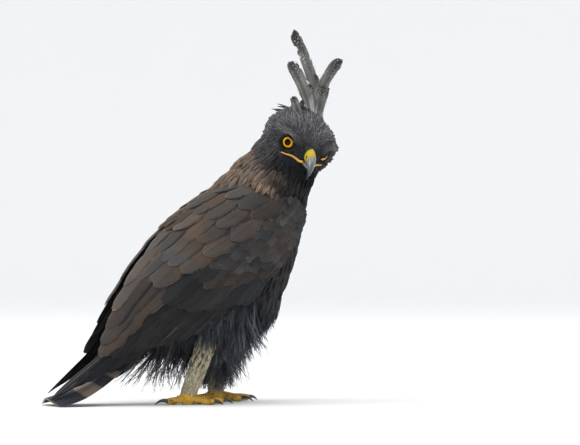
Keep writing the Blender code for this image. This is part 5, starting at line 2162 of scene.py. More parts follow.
@dataclass(frozen=True)
class SmallFeather:
    """The closed shape that one kind of small feather is made from, one unit long and wide."""
    kind: Template

    def blade(self, sections: Sequence[tuple[float, float, float]], aim: tuple[float, float],
            thick: float, start: int) -> tuple[list, list, list]:
        """Lay out one blade of diamond sections.

        Args:
            sections: (along, half width, height) from root to tip.
            aim: Sideways drift at the tip, and where along it starts.
            thick: Thickness at the root.
            start: Number of the first vertex.

        Returns:
            Places, faces and vane values.
        """
        verts, faces, vane = [], [], []
        for y, half, z in sections:
            drift = aim[0] * max(0.0, y - aim[1]) ** 1.3
            deep = thick * (1.05 - y)
            verts += [(drift - half, y, z), (drift, y, z + deep + half * 0.16),
                (drift + half, y, z), (drift, y, z - deep * 0.4 + half * 0.1)]
            rim = 1.0 if y > 0.9 else 0.0
            across = 1.0 if self.kind is not Template.LOOSE else 0.5
            vane += [(-across, y, 1.0), (0.0, y, rim), (across, y, 1.0), (0.0, y, rim)]
        for i in range(len(sections) - 1):
            a, b = start + i * 4, start + i * 4 + 4
            for k in range(4):
                j = (k + 1) % 4
                faces.append((a + k, a + j, b + j, b + k))
        last = start + (len(sections) - 1) * 4
        faces += [(start + 3, start + 2, start + 1, start), (last, last + 1, last + 2, last + 3)]
        return verts, faces, vane

    def build(self) -> bpy.types.Object:
        """Make the template.

        Returns:
            The object, kept out of the render.
        """
        blades = {
            Template.ROUND: [
            (((0.0, 0.12, -0.1), (0.18, 0.4, 0.02), (0.48, 0.52, 0.055), (0.76, 0.47, 0.045),
            (0.93, 0.28, 0.02), (1.0, 0.05, 0.0)), (0.0, 0.0), 0.012)],
            Template.POINTED: [
            (((0.0, 0.14, -0.1), (0.3, 0.46, 0.035), (0.62, 0.44, 0.05), (0.86, 0.22, 0.035),
            (1.0, 0.03, 0.01)), (0.0, 0.0), 0.014)],
            Template.LOOSE: [
            (((0.0, 0.16, -0.08), (0.35, 0.2, 0.035), (0.7, 0.1, 0.04), (1.0, 0.015, 0.01)),
            (0.1, 0.2), 0.01),
            (((0.0, 0.12, -0.08), (0.35, 0.16, 0.03), (0.68, 0.08, 0.02), (0.92, 0.012, -0.02)),
            (0.75, 0.12), 0.01),
            (((0.0, 0.12, -0.08), (0.33, 0.16, 0.03), (0.62, 0.08, 0.03), (0.86, 0.012, 0.0)),
            (-0.85, 0.1), 0.01),
            (((0.0, 0.1, -0.08), (0.4, 0.1, 0.05), (0.8, 0.06, 0.06), (1.08, 0.01, 0.02)),
            (-0.25, 0.25), 0.01)]}[self.kind]
        verts, faces, vane = [], [], []
        for sections, aim, thick in blades:
            more = self.blade(sections, aim, thick, len(verts))
            verts, faces, vane = verts + more[0], faces + more[1], vane + more[2]
        made = make_mesh(f"template_{self.kind.value}", np.array(verts), faces)
        store(made.data, "vane", np.array(vane))
        made.hide_render = True
        return made


@dataclass(frozen=True)
class Tract:
    """One coat piece: where it grows, its shape, spacing and stance."""
    name: str
    mask: str
    kind: Template
    spacing: float
    lift: float
    stray: float
    finish: Plumage
    seed: int
    scale: float = 1.0


@dataclass
class Coat:
    """Small feathers over the skin, set out by one Geometry Nodes tree."""
    skin: bpy.types.Object
    patch: float = 0.003

    def tree(self) -> bpy.types.NodeTree:
        """Build the tree that sets one kind of feather on the skin.

        Returns:
            The tree.
        """
        tree = bpy.data.node_groups.new("feather_coat", "GeometryNodeTree")
        face = tree.interface
        face.new_socket("Geometry", in_out="INPUT", socket_type="NodeSocketGeometry")
        for name, kind in (("Spacing", "Float"), ("Lift", "Float"), ("Stray", "Float"),
                ("Scale", "Float"), ("Mask", "String"), ("Feather", "Object"),
                ("Material", "Material"), ("Seed", "Int")):
            face.new_socket(name, in_out="INPUT", socket_type=f"NodeSocket{kind}")
        face.new_socket("Geometry", in_out="OUTPUT", socket_type="NodeSocketGeometry")
        graph = Graph(tree)
        first = graph.node("NodeGroupInput")
        given = {out.name: Value(graph, out) for out in first.socket.node.outputs if out.name}
        density = graph.node("ShaderNodeMath", {"operation": "DIVIDE"},
            {0: 1.6, 1: given["Spacing"] * given["Spacing"]})
        mask = graph.node("GeometryNodeInputNamedAttribute", {"data_type": "FLOAT"},
            {"Name": given["Mask"]})
        spots = graph.node("GeometryNodeDistributePointsOnFaces", {"distribute_method": "POISSON"},
            {"Mesh": given["Geometry"], "Distance Min": given["Spacing"], "Density Max": density,
            "Density Factor": mask, "Seed": given["Seed"]}, "Points")
        normal = Value(graph, spots.socket.node.outputs["Normal"])
        lie, size = (graph.node("GeometryNodeInputNamedAttribute", {"data_type": "FLOAT_VECTOR"},
            {"Name": name}) for name in ("lie", "size"))
        stance = graph.node("FunctionNodeAxesToRotation",
            {"primary_axis": "Z", "secondary_axis": "Y"},
            {"Primary Axis": normal, "Secondary Axis": lie})
        chance = graph.node("FunctionNodeRandomValue", {"data_type": "FLOAT_VECTOR"},
            {0: (-1.0, -1.0, -1.0), 1: (1.0, 1.0, 1.0), "Seed": given["Seed"] + 5.0})
        jitter = graph.node("ShaderNodeVectorMath", {"operation": "MULTIPLY"},
            {0: chance,
            1: graph.node("ShaderNodeCombineXYZ", {},
            {0: given["Stray"] * 0.5, 1: given["Stray"] * 0.6, 2: given["Stray"]})})
        raised = graph.node("ShaderNodeVectorMath", {"operation": "ADD"},
            {0: jitter, 1: graph.node("ShaderNodeCombineXYZ", {}, {0: given["Lift"]})})
        turn = graph.node("FunctionNodeEulerToRotation", {}, {"Euler": raised})
        pose = graph.node("FunctionNodeRotateRotation", {"rotation_space": "LOCAL"},
            {"Rotation": stance, "Rotate By": turn})
        vary = graph.node("FunctionNodeRandomValue", {"data_type": "FLOAT"},
            {2: 0.78, 3: 1.22, "Seed": given["Seed"] + 9.0}, 1)
        scale = graph.scaled(size, vary * given["Scale"])
        shape = graph.node("GeometryNodeObjectInfo", {}, {"Object": given["Feather"]}, "Geometry")
        shade = graph.node("FunctionNodeRandomValue", {"data_type": "FLOAT"},
            {2: 0.0, 3: 1.0, "Seed": given["Seed"] + 13.0}, 1)
        shaded = graph.node("GeometryNodeStoreNamedAttribute",
            {"data_type": "FLOAT", "domain": "POINT"},
            {"Geometry": spots, "Name": "shade", "Value": shade})
        placed = graph.node("GeometryNodeInstanceOnPoints", {},
            {"Points": shaded, "Instance": shape, "Rotation": pose, "Scale": scale})
        real = graph.node("GeometryNodeRealizeInstances", {}, {"Geometry": placed})
        done = graph.node("GeometryNodeSetMaterial", {},
            {"Geometry": real, "Material": given["Material"]})
        graph.node("NodeGroupOutput", {}, {"Geometry": done})
        return tree

    def grow(self, tree: bpy.types.NodeTree, tract: Tract,
            feather: bpy.types.Object) -> bpy.types.Object:
        """Grow one tract as a plain mesh.

        Args:
            tree: The tree.
            tract: What grows and where.
            feather: The template.

        Returns:
            The piece.
        """
        holder = link(bpy.data.objects.new("holder", self.skin.data))
        modifier = holder.modifiers.new("coat", "NODES")
        modifier.node_group = tree
        wanted = {"Spacing": tract.spacing, "Lift": math.radians(tract.lift),
            "Stray": math.radians(tract.stray), "Scale": tract.scale, "Mask": tract.mask,
            "Feather": feather, "Material": tract.finish.make(), "Seed": tract.seed}
        for item in tree.interface.items_tree:
            if item.in_out == "INPUT" and item.name in wanted:
                modifier[item.identifier] = wanted[item.name]
        holder.update_tag()
        mesh = settled(holder)
        bpy.data.objects.remove(holder)
        mesh.name = tract.name
        mesh.shade_smooth()
        self.lay_out(mesh)
        return link(bpy.data.objects.new(tract.name, mesh))

    def lay_out(self, mesh: bpy.types.Mesh) -> None:
        """Place each feather's patch at its root on the skin's unwrap.

        Args:
            mesh: The coat piece.
        """
        vane = read(mesh.attributes["vane"].data, "vector", 3)
        root = read(mesh.attributes["OFBake"].data, "vector", 2)
        if len(root) != len(vane):
            vane = vane[corner_vertices(mesh)]
        local = (vane[:, :2] * np.array([0.5, 1.0])) * self.patch
        mesh.attributes.remove(mesh.attributes["OFBake"])
        for name in [a.name for a in mesh.attributes if a.name.startswith("grow_")
                or a.name in ("lie", "size")]:
            mesh.attributes.remove(mesh.attributes[name])
        write_unwrap(mesh, root + local)

    def build(self) -> list[bpy.types.Object]:
        """Grow every tract.

        Returns:
            The pieces.
        """
        head = Plumage("head_feathers", roughness=0.65, specular=0.12, level=0.66, sheen=0.04,
            rim=(3.6, 3.6, 3.6), rim_share=0.95, rim_start=0.5, shaft=rgb("0a0a0c"),
            shaft_share=0.95, shaft_width=0.6, barbs=80.0, barb_share=0.35, spread=0.9)
        neck = Plumage("neck_feathers", roughness=0.68, specular=0.1, level=0.62, sheen=0.04,
            rim=(1.8, 1.7, 1.6), rim_share=0.7, rim_start=0.35, shaft=rgb("141110"),
            shaft_share=0.7, shaft_width=0.4, barbs=90.0, barb_share=0.3, spread=1.0, blotch=0.5)
        body = Plumage("body_feathers", roughness=0.66, specular=0.1, level=0.62, sheen=0.03,
            rim=(1.9, 1.8, 1.7), rim_share=0.6, rim_start=0.5, shaft=rgb("100e0e"),
            shaft_share=0.5, shaft_width=0.25, barbs=64.0, spread=0.7, blotch=0.4)
        loose = Plumage("loose_feathers", roughness=0.6, specular=0.16, level=0.7, sheen=0.03,
            rim=(1.7, 1.75, 1.8), rim_share=0.5, rim_start=0.5, shaft=rgb("0b0b0d"),
            shaft_share=0.2, barbs=20.0, spread=0.8)
        shank = Plumage("shank_feathers", roughness=0.75, specular=0.1, level=0.85, sheen=0.04,
            rim=(1.15, 1.15, 1.1), rim_share=0.5, rim_start=0.3, shaft=rgb("3c342c"),
            shaft_share=0.9, shaft_width=0.34, barbs=18.0, spread=0.5)
        arm = Plumage("small_coverts", roughness=0.6, specular=0.14, level=0.62, sheen=0.03,
            rim=(2.1, 2.0, 1.9), rim_share=0.7, rim_start=0.6, shaft=rgb("0f0e0e"),
            shaft_share=0.5, shaft_width=0.12, barbs=90.0, barb_share=0.22, spread=0.5, blotch=0.7)
        tracts = (Tract("face_feathers", "grow_face", Template.POINTED, 0.00085, 8, 9, head, 1),
            Tract("crown_feathers", "grow_head", Template.POINTED, 0.00152, 12, 17, head, 2),
            Tract("neck_feathers", "grow_neck", Template.POINTED, 0.0019, 6, 10, neck, 3),
            Tract("body_feathers", "grow_body", Template.POINTED, 0.0029, 5, 7, body, 4),
            Tract("mantle_feathers", "grow_mantle", Template.ROUND, 0.0036, 6, 6, body, 9, 1.05),
            Tract("belly_feathers", "grow_belly", Template.LOOSE, 0.003, 6, 11, loose, 5, 1.15),
            Tract("shank_feathers", "grow_shank", Template.POINTED, 0.0015, 7, 8, shank, 6),
            Tract("small_coverts", "grow_arm", Template.ROUND, 0.004, 4, 6, arm, 7),
            Tract("rump_feathers", "grow_rump", Template.ROUND, 0.004, 8, 8, body, 8))
        shapes = {kind: SmallFeather(kind).build() for kind in Template}
        tree = self.tree()
        made = [self.grow(tree, tract, shapes[tract.kind]) for tract in tracts]
        for shape in shapes.values():
            bpy.data.objects.remove(shape)
        return made


# Bare parts

def tube(name: str, path: Array, radii: Array, sides: int, flat: float = 1.0,
        up: Array | None = None) -> bpy.types.Object:
    """Make a round solid along a path, its vane values running along it.

    Args:
        name: Name of the object.
        path: Places.
        radii: Radius at each place.
        sides: Points round it.
        flat: Share of the radius across up.
        up: Direction to keep upwards.

    Returns:
        The object.
    """
    rings, count = [], len(path)
    ahead = unit(np.gradient(path, axis=0))
    guide = UP if up is None else up
    for point, along, radius in zip(path, ahead, radii):
        side = unit(np.cross(along, guide))
        rings.append(ring_of(point, np.cross(side, along), side, radius * flat, radius, sides))
    form = loft(rings, 1, Region.HEAD)
    made = make_mesh(name, form.verts, form.faces)
    along_share = np.append(np.repeat(np.linspace(0, 1, count), sides), (0.0, 1.0))
    paint(made.data, 0.0, along_share)
    return made


def join(name: str, objects: Sequence[bpy.types.Object]) -> bpy.types.Object:
    """Join objects into the first one, under a new name.

    Args:
        name: The new name.
        objects: The objects.

    Returns:
        The first one, grown.
    """
    with bpy.context.temp_override(active_object=objects[0], object=objects[0],
            selected_editable_objects=list(objects), selected_objects=list(objects)):
        bpy.ops.object.join()
    objects[0].name = objects[0].data.name = name
    return objects[0]


@dataclass
class Eyes:
    """Eyeballs with their lids."""
    stance: Stance
    lid_opening: dict = by_side(0.007, 0.0078)
    lid_rim: float = 0.0098
    lid_fold: float = 0.0014
    lid_edge: float = 0.0003
    # Upper edge of the dark lid over the iris: partly the lid, partly painted shade standing for
    # the brow's shadow
    lid_and_brow_shadow_line: dict = by_side(0.0056, -0.0014)
    # Where the opening is drawn from, ahead of and above the pupil
    hub: dict = by_side((0.0, 0.0), (-0.003, -0.0034))
    slant: dict = by_side(0.25, 0.8)
    balls: dict = by_side(IrisFinish("near_eyeball", pupil=0.0041), IrisFinish("far_eyeball"))
    lid: Horn = Horn("lids", roughness=0.6, specular=0.15, root=rgb("17171a"), end=rgb("101012"),
        fleck=0.4, fleck_scale=900.0)

    def make_ball(self, side: int, word: str) -> bpy.types.Object:
        """Make one eyeball, its vane values measured from the middle of the pupil.

        Args:
            side: RIGHT or LEFT.
            word: Which eye.

        Returns:
            The piece.
        """
        centre, look = self.stance.eye(side)
        mesh = ball(f"eyeball_{word}", 64, 40, self.stance.eye_radius)
        local = np.array([v.co for v in mesh.vertices])
        reach = np.linalg.norm(local[:, :2], axis=1) + (local[:, 2] < 0) * 0.02
        turn = np.arctan2(local[:, 1], local[:, 0]) / (2 * math.pi)
        quat = Vector(look).to_track_quat("Z", "Y")
        for vertex in mesh.vertices:
            vertex.co = quat @ vertex.co + Vector(centre)
        paint(mesh, reach, turn)
        return dress(link(bpy.data.objects.new(mesh.name, mesh)), self.balls[side])

    def make_lids(self, side: int, word: str) -> bpy.types.Object:
        """Make the lids of one eye: a dark shell round the opening, cut low towards the bill;
        across the top of the iris it is partly lid and partly painted shade for the brow's shadow.

        Args:
            side: RIGHT or LEFT.
            word: Which eye.

        Returns:
            The piece.
        """
        centre, look = self.stance.eye(side)
        ahead = unit(self.stance.forward - look * (look @ self.stance.forward))
        up = np.cross(look, ahead)
        up = up * (1 if up @ self.stance.crown > 0 else -1)
        radius, count, verts = self.stance.eye_radius, 64, []
        for turn in full_turn(count):
            way = np.array([math.cos(turn), math.sin(turn)])
            brow, hub = np.array([self.slant[side], 1.0]), np.array(self.hub[side])
            inner = math.sqrt(self.lid_opening[side] ** 2 - hub @ hub + (way @ hub) ** 2)
            inner -= way @ hub
            # The dark shell reaches down over the iris to this line: painted shade of the brow
            if way @ brow > 0:
                inner = min(inner, (self.lid_and_brow_shadow_line[side] - hub @ brow) / (way @ brow))
            border = hub + way * inner
            fold, rim = border + way * self.lid_fold, way * self.lid_rim
            ring = [(border, self.lid_edge), (border + way * self.lid_edge, 0.0008)]
            ring += [(fold * (1 - t) + rim * t, 0.0007 - 0.0005 * t) for t in np.linspace(0, 1, 7)]
            ring += [(rim, -0.0006), (border, -0.0004)]
            for spot, above in ring:
                deep = math.sqrt(max(0.0, (radius + above) ** 2 - spot @ spot))
                verts.append(centre + look * deep + ahead * spot[0] + up * spot[1])
        made = make_mesh(f"lids_{word}", np.array(verts), quads(count, len(ring), True))
        paint(made.data, np.zeros(len(verts)))
        return dress(made, self.lid)

    def build(self) -> list[bpy.types.Object]:
        """Make both eyes and their lids.

        Returns:
            The pieces.
        """
        made = []
        for side, word in SIDES:
            made += [self.make_ball(side, word), self.make_lids(side, word)]
        return made


@dataclass
class Bill:
    """The hooked bill: horn, cere with its nostrils, and the yellow line of the gape."""
    stance: Stance
    # (f, height, half width, half height)
    upper: tuple = ((0.0128, -0.003, 0.0056, 0.0084), (0.0175, -0.0032, 0.0057, 0.008),
        (0.023, -0.0045, 0.0055, 0.0072), (0.028, -0.0072, 0.0049, 0.0064),
        (0.032, -0.0112, 0.0041, 0.0056), (0.0345, -0.0162, 0.0028, 0.0044),
        (0.0353, -0.0218, 0.0016, 0.0028), (0.0346, -0.027, 0.0006, 0.0009))
    lower: tuple = ((0.0128, -0.014, 0.005, 0.0028), (0.018, -0.014, 0.0046, 0.0027),
        (0.024, -0.0147, 0.0035, 0.0023), (0.0285, -0.0162, 0.0018, 0.0012))
    cere_end: float = 0.36
    cere_stands: float = 0.00035
    gape_rise: float = 0.0016
    sides: int = 56
    horn: Horn = Horn("bill_horn", roughness=0.3, specular=0.4, level=0.72, coat=0.2, bump=0.12,
        root=rgb("9aa5a9"), end=rgb("25282b"), turn=(0.38, 0.96), fleck=0.3, streak=0.62)
    cere: Horn = Horn("cere", roughness=0.5, specular=0.25, level=0.74, bump=0.25,
        root=rgb("dcc43a"), end=rgb("c9a638"), fleck=0.4, fleck_scale=520.0, streak=0.25)
    gape: Horn = Horn("gape", roughness=0.5, specular=0.25, level=0.94, bump=0.2,
        root=rgb("d8a650"), end=rgb("dfb04a"), fleck=0.2, fleck_scale=650.0)
    # Nostril: middle (f, u), half width and half length of the slit, slant, depth
    nostril: tuple = (0.0216, -0.0044, 0.0017, 0.0024, 0.9, 0.0003)

    def rings(self, table: tuple, low: float, high: float, count: int, grow: float) -> Array:
        """Lay out rings of the bill between two shares of its length.

        Args:
            table: Its stations.
            low: First share.
            high: Last share.
            count: Number of rings.
            grow: Added to its radii.

        Returns:
            Rings of places.
        """
        made = []
        angle = full_turn(self.sides)
        for x in np.linspace(low, high, count):
            f, height, wide, tall = through(table, x)
            a, b = through(table, x - 0.02), through(table, x + 0.02)
            ahead = np.array([b[0] - a[0], b[1] - a[1]])
            along = unit(self.stance.forward * ahead[0] + self.stance.crown * ahead[1])
            up = unit(np.cross(along, self.stance.aside))
            if up @ self.stance.crown < -0.2:
                up = -up
            centre = self.stance.head(f, 0, height)
            cos, sin = np.cos(angle), np.sin(angle)
            squeeze = 1 - 0.26 * np.clip(cos, 0, 1) ** 2
            made.append(centre + up * ((tall + grow) * cos)[:, None]
                + self.stance.aside * ((wide + grow) * sin * squeeze)[:, None])
        return np.array(made)

    def dressed(self, name: str, rings: Array, finish: Finish, low: float,
            high: float) -> bpy.types.Object:
        """Make one part of the bill from its rings.

        Args:
            name: Name of the piece.
            rings: Its rings.
            finish: Its finish.
            low: Place along it at the first ring.
            high: Place along it at the last ring.

        Returns:
            The piece.
        """
        form = loft(rings, 1, Region.HEAD)
        made = make_mesh(name, form.verts, form.faces)
        share = np.append(np.repeat(np.linspace(low, high, len(rings)), self.sides), (low, high))
        turn = np.append(np.tile(np.arange(self.sides) / self.sides, len(rings)), (0.0, 0.0))
        paint(made.data, turn, share)
        return dress(made, finish)

    def cut_nostrils(self, cere: bpy.types.Object) -> None:
        """Sink the two slanted nostrils into the cere, and mark their hollows to be painted near
        black as painted shade.

        Args:
            cere: The cere.
        """
        points, normals = places(cere.data)
        head = self.stance.in_head(points)
        vane = read(cere.data.attributes["vane"].data, "vector", 3)
        f, u, wide, long, slant, depth = self.nostril
        df, du = head[:, 0] - f, head[:, 2] - u
        across = (df * math.cos(slant) + du * math.sin(slant)) / wide
        along = (du * math.cos(slant) - df * math.sin(slant)) / long
        hollow_and_shade = np.exp(-(across ** 2 + along ** 2) ** 1.5)
        points -= normals * (hollow_and_shade * depth)[:, None]
        # The third vane value has the cere's finish paint the nostril hollows near black: painted
        # shade
        vane[:, 2] = smooth(0.35, 0.7, hollow_and_shade)
        cere.data.attributes["vane"].data.foreach_set("vector", vane.ravel())
        set_places(cere.data, points)

    def build(self, skin: BVHTree) -> list[bpy.types.Object]:
        """Make the bill.

        Args:
            skin: The skin's surface.

        Returns:
            The pieces.
        """
        upper = self.dressed("bill_horn", self.rings(self.upper, 0.1, 1.0, 40, 0.0), self.horn,
            0.1, 1.0)
        cere_rings = self.rings(self.upper, 0.0, self.cere_end, 54, self.cere_stands)
        cere_rings = np.concatenate(
            [cere_rings, self.rings(self.upper, self.cere_end + 0.006, self.cere_end + 0.006, 1,
            -0.0004)])
        cere = self.dressed("cere", cere_rings, self.cere, 0.0, 0.9)
        self.cut_nostrils(cere)
        lower = self.dressed("bill_lower_horn", self.rings(self.lower, 0.0, 1.0, 18, 0.0),
            self.horn, 0.2, 0.8)
        made = [upper, cere, lower]
        for side, word in SIDES:
            shares = np.linspace(0, 1, 28)
            path = []
            for x in shares:
                f, l, u = through(MOUTH_LINE, x)
                spot = self.stance.head(f, side * l, u)
                near, normal, _, _ = skin.find_nearest(Vector(spot))
                held = smooth(0.95, 0.7, np.array(x)).item()
                path.append(spot * (1 - held) + np.array(near + normal * self.gape_rise) * held)
            radii = 0.001 + 0.0009 * smooth(0.0, 0.75, shares)
            gape = tube(f"gape_{word}", np.array(path), radii, 14, 0.8, self.stance.crown)
            made.append(dress(gape, self.gape))
        return made


@dataclass(frozen=True)
class Toe:
    """One toe: bearing outwards from the heading, length, radius and claw length."""
    word: str
    bearing: float
    length: float
    radius: float
    claw: float


@dataclass
class Feet:
    """Scaled toes on flat soles, with glossy claws."""
    stance: Stance
    skin: Skin
    toes: tuple[Toe, ...] = (Toe("inner", -34, 0.027, 0.0042, 0.019),
        Toe("middle", 4, 0.038, 0.004, 0.0165), Toe("outer", 42, 0.029, 0.0037, 0.0145),
        Toe("hind", 178, 0.021, 0.0042, 0.021))
    claw_radius: float = 0.0023
    claw_rings: int = 22
    # Height of a toe's middle line at shares of its length
    toe_shares: tuple = (0.0, 0.28, 0.52, 0.76, 1.0)
    toe_heights: tuple = (0.0075, 0.0065, 0.0046, 0.0042, 0.0037)
    toe_start: float = 0.004
    toe_end: float = 0.0012
    pad_radius: float = 0.0098
    sides: int = 20
    scute: float = 0.0024
    scute_swell: float = 0.12
    pad_swell: float = 0.1
    scaled: ScaledSkin = ScaledSkin("toe_skin")
    claw: Horn = Horn("claw_horn", roughness=0.22, specular=0.5, coat=0.5, bump=0.1,
        root=rgb("2b2b2e"), end=rgb("0c0c0e"), turn=(0.0, 0.6), fleck=0.3)

    def centre_line(self, side: int, toe: Toe) -> tuple[Array, Array]:
        """Follow a toe from the middle of the foot.

        Args:
            side: RIGHT or LEFT.
            toe: The toe.

        Returns:
            Places, and the toe's heading.
        """
        angle = -side * math.radians(toe.bearing)
        heading = self.stance.aim(math.cos(angle), -math.sin(angle), 0)
        centre = self.skin.foot(side, 0)
        reach = np.linspace(0, 1, 64)
        height = np.interp(reach, self.toe_shares, self.toe_heights)
        path = (centre + heading * (self.toe_start + reach * toe.length)[:, None]
            + UP * height[:, None])
        return path, heading

    def make_toe(self, side: int, word: str, toe: Toe) -> bpy.types.Object:
        """Make one toe with scutes above and pads below.

        Args:
            side: RIGHT or LEFT.
            word: Which foot.
            toe: Its sizes.

        Returns:
            The object.
        """
        path, heading = self.centre_line(side, toe)
        reach = np.linspace(0, 1, len(path))
        base = toe.radius * np.interp(reach, (0, 0.28, 0.5, 0.8, 1), (1.25, 1.05, 1.0, 1.0, 0.9))
        length = reach * toe.length
        saw = np.abs(((length / self.scute) % 1.0) - 0.5) * 2
        angle = full_turn(self.sides)
        aside = np.cross(UP, heading)
        dorsal = np.clip(np.cos(angle), 0, 1) ** 0.7
        pads = 1 + (self.pad_swell * np.sin(length / toe.length * math.pi * 3.2)[:, None]
            * np.clip(-np.cos(angle), 0, 1))
        swell = 1 + self.scute_swell * (1 - saw ** 4)[:, None] * dorsal
        radius = base[:, None] * swell * pads
        rings = (path[:, None, :] + UP * (radius * np.cos(angle))[..., None]
            + aside * (radius * np.sin(angle))[..., None])
        rings[..., 2] = np.maximum(rings[..., 2], SOLE)
        rings = np.concatenate([rings, blend(rings[-1:], rings[-1:].mean(1, keepdims=True), 0.45)
            + heading * self.toe_end])
        form = loft(rings, 1, Region.TARSUS)
        made = make_mesh(f"toe_{word}_{toe.word}", form.verts, form.faces)
        # Crease depth between the scutes, which the toe skin's finish paints dark as painted shade
        crease = np.vstack([(saw ** 3)[:, None] * dorsal[None, :], dorsal[None, :] * 0 + 0.4])
        crease = np.append(crease.ravel(), (0.0, 0.5))
        paint(made.data, crease)
        return made

    def make_claw(self, side: int, word: str, toe: Toe) -> bpy.types.Object:
        """Make one hooked claw.

        Args:
            side: RIGHT or LEFT.
            word: Which foot.
            toe: Its toe.

        Returns:
            The object.
        """
        path, heading = self.centre_line(side, toe)
        count = self.claw_rings
        point = path[-1] - heading * self.toe_end
        points = []
        for k in range(count):
            x = k / (count - 1)
            points.append(point)
            bend = math.radians(20 - 78 * x)
            point = point + (heading * math.cos(bend) + UP * math.sin(bend)) * toe.claw / count
        points = np.array(points)
        shares = np.linspace(0, 1, count)
        radii = self.claw_radius * (1 - shares) ** 0.75 + 0.00015
        lift = 0.0001 - (points[:, 2] - radii).min()
        points = points + UP * (lift * shares)[:, None]
        made = tube(f"claw_{word}_{toe.word}", points, radii, 18, 1.15)
        return dress(made, self.claw)

    def build(self) -> list[bpy.types.Object]:
        """Make both feet.

        Returns:
            The pieces.
        """
        made = []
        for side, word in SIDES:
            centre = self.skin.foot(side, self.toe_heights[0])
            mesh = ball("pad", 32, 20, self.pad_radius)
            for vertex in mesh.vertices:
                vertex.co += Vector(centre)
                vertex.co.z = max(vertex.co.z, SOLE)
            paint(mesh, np.zeros(len(mesh.vertices)))
            pad = link(bpy.data.objects.new("pad", mesh))
            foot = join(f"foot_skin_{word}",
                [pad] + [self.make_toe(side, word, toe) for toe in self.toes])
            made.append(dress(foot, self.scaled))
            claws = [self.make_claw(side, word, toe) for toe in self.toes]
            made.append(join(f"claws_{word}", claws))
        return made


# Studio

@dataclass
class Studio:
    """Pale floor and backdrop, soft lights, and the camera at the photo's angle."""
    stance: Stance
    scale: float = 0.00118
    picture: tuple[int, int] = (580, 445)
    origin_pixel: tuple[int, int] = (193, 403)
    distance: float = 4.0
    sensor: float = 36.0
    flat: float = 4.6
    sides: int = 96
    ground: PaleGround = PaleGround("pale_ground")

    def floor(self) -> None:
        """Make the floor, swept up all round into a backdrop."""
        turns = full_turn(self.sides)
        profile = [(0.02, 0.0), (2.0, 0.0), (self.flat, 0.0)]
        profile += [(self.flat + t, 0.12 * t ** 3) for t in np.linspace(0.15, 3.6, 24)]
        verts = [(r * math.cos(a), r * math.sin(a), z) for r, z in profile for a in turns]
        faces = quads(len(profile), self.sides) + [tuple(range(self.sides))]
        made = make_mesh("floor", np.array(verts), faces)
        dress(made, self.ground)

    def light(self, name: str, place: Sequence[float], aim: Sequence[float], size: float,
            power: float) -> None:
        """Hang one soft light.

        Args:
            name: Its name.
            place: Where it hangs.
            aim: What it points at.
            size: Side of the square panel.
            power: Watts.
        """
        lamp = bpy.data.lights.new(name, "AREA")
        lamp.size, lamp.energy = size, power
        made = link(bpy.data.objects.new(name, lamp))
        made.location = place
        made.rotation_mode = "QUATERNION"
        made.rotation_quaternion = (Vector(aim) - Vector(place)).to_track_quat("-Z", "Y")

    def camera(self) -> None:
        """Set the camera level, looking along +Y, framed as the photo is."""
        width = self.picture[0] * self.scale
        lens = bpy.data.cameras.new("camera")
        lens.sensor_width = self.sensor
        lens.lens = self.sensor * self.distance / width
        lens.clip_end = 50.0
        made = link(bpy.data.objects.new("camera", lens))
        x = (self.picture[0] / 2 - self.origin_pixel[0]) * self.scale + self.stance.shift[0]
        z = (self.origin_pixel[1] - self.picture[1] / 2) * self.scale
        made.location = (x, -self.distance + self.stance.shift[1], z)
        made.rotation_euler = (math.pi / 2, 0.0, 0.0)
        bpy.context.scene.camera = made

    def build(self) -> None:
        """Set up everything round the bird."""
        self.floor()
        self.light("sky_panel", (0.0, 0.0, 5.2), (0.0, 0.0, 0.0), 9.0, 330.0)
        self.light("key_panel", (-2.3, -0.45, 1.55), (0.0, 0.0, 0.25), 0.8, 26.0)
        world = bpy.data.worlds.new("studio_air")
        world.use_nodes = True
        world.node_tree.nodes["Background"].inputs["Color"].default_value = (0.95, 0.97, 1.0, 1)
        world.node_tree.nodes["Background"].inputs["Strength"].default_value = 0.6
        bpy.context.scene.world = world
        bpy.context.scene.view_settings.view_transform = "Standard"
        self.camera()


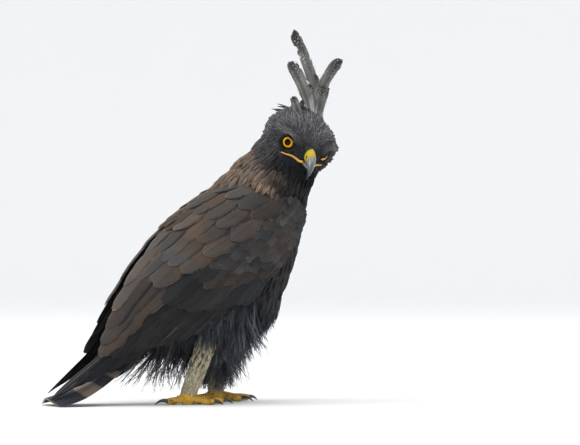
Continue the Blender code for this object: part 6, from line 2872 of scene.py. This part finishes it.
def slots() -> dict[str, str]:
    """List the slot of each piece, by the start of the piece's name.

    Returns:
        Slots by name.
    """
    pieces = {"head_plumage": ("face_feathers", "crown_feathers", "crest_plumes"),
        "neck_plumage": ("neck_feathers",),
        "body_plumage": ("skin", "body_feathers", "rump_feathers", "mantle_feathers"),
        "belly_plumage": ("belly_feathers", "trouser_feathers", "vent_feathers"),
        "wing_plumage": ("median_coverts", "small_coverts", "primaries", "secondaries", "tertials",
        "greater_coverts", "scapulars"), "tail_plumage": ("tail_feathers",),
        "tarsus_plumage": ("shank_feathers",), "eye": ("eyeball", "lids"),
        "bill": ("bill_horn", "bill_lower", "cere", "gape"), "foot_skin": ("foot_skin",),
        "claw": ("claws",)}
    return {name: slot for slot, names in pieces.items() for name in names}


def replaced() -> dict[str, tuple[str, ...]]:
    """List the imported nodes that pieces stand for.

    Returns:
        Nodes by the name of the piece.
    """
    nodes = {"skin": ("torso", "neck", "head", "thigh_right", "thigh_left", "tarsus_right",
        "tarsus_left"), "tail_feathers": ("tail",), "bill_horn": ("bill_upper",),
        "bill_lower_horn": ("bill_lower",)}
    for _, word in SIDES:
        nodes[f"primaries_{word}"] = (f"wing_{word}",)
        nodes[f"eyeball_{word}"] = (f"eye_{word}",)
        nodes[f"foot_skin_{word}"] = (f"foot_{word}",)
        nodes[f"claws_{word}"] = tuple(f"claw_{word}_{toe.word}" for toe in Feet.toes)
    return nodes


def main() -> None:
    """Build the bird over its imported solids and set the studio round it."""
    logging.basicConfig(level=logging.INFO, format="%(message)s")
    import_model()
    stance = Stance()
    surface = WingSurface(stance)
    tail = TailPlumageSet(stance)
    skin = Skin(stance, surface)
    body = skin.build(tail, Markings(stance))
    surface_tree = BVHTree.FromObject(body, bpy.context.evaluated_depsgraph_get())
    pieces = [body]
    pieces += Coat(body).build()
    pieces += LooseFeathers(stance, skin).build(surface_tree)
    pieces += WingPlumage(surface).build()
    pieces += tail.build()
    pieces += Crest(stance).build(surface_tree)
    pieces += Eyes(stance).build()
    pieces += Bill(stance).build(surface_tree)
    pieces += Feet(stance, skin).build()
    skin.thin(body)
    known, nodes = slots(), replaced()
    for piece in pieces:
        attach(piece, "root")
        if piece.name in nodes:
            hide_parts(*nodes[piece.name])
        LOG.info("%s: %d triangles", piece.name, triangles(piece))
    Studio(stance).build()


if __name__ == "__main__":
    main()
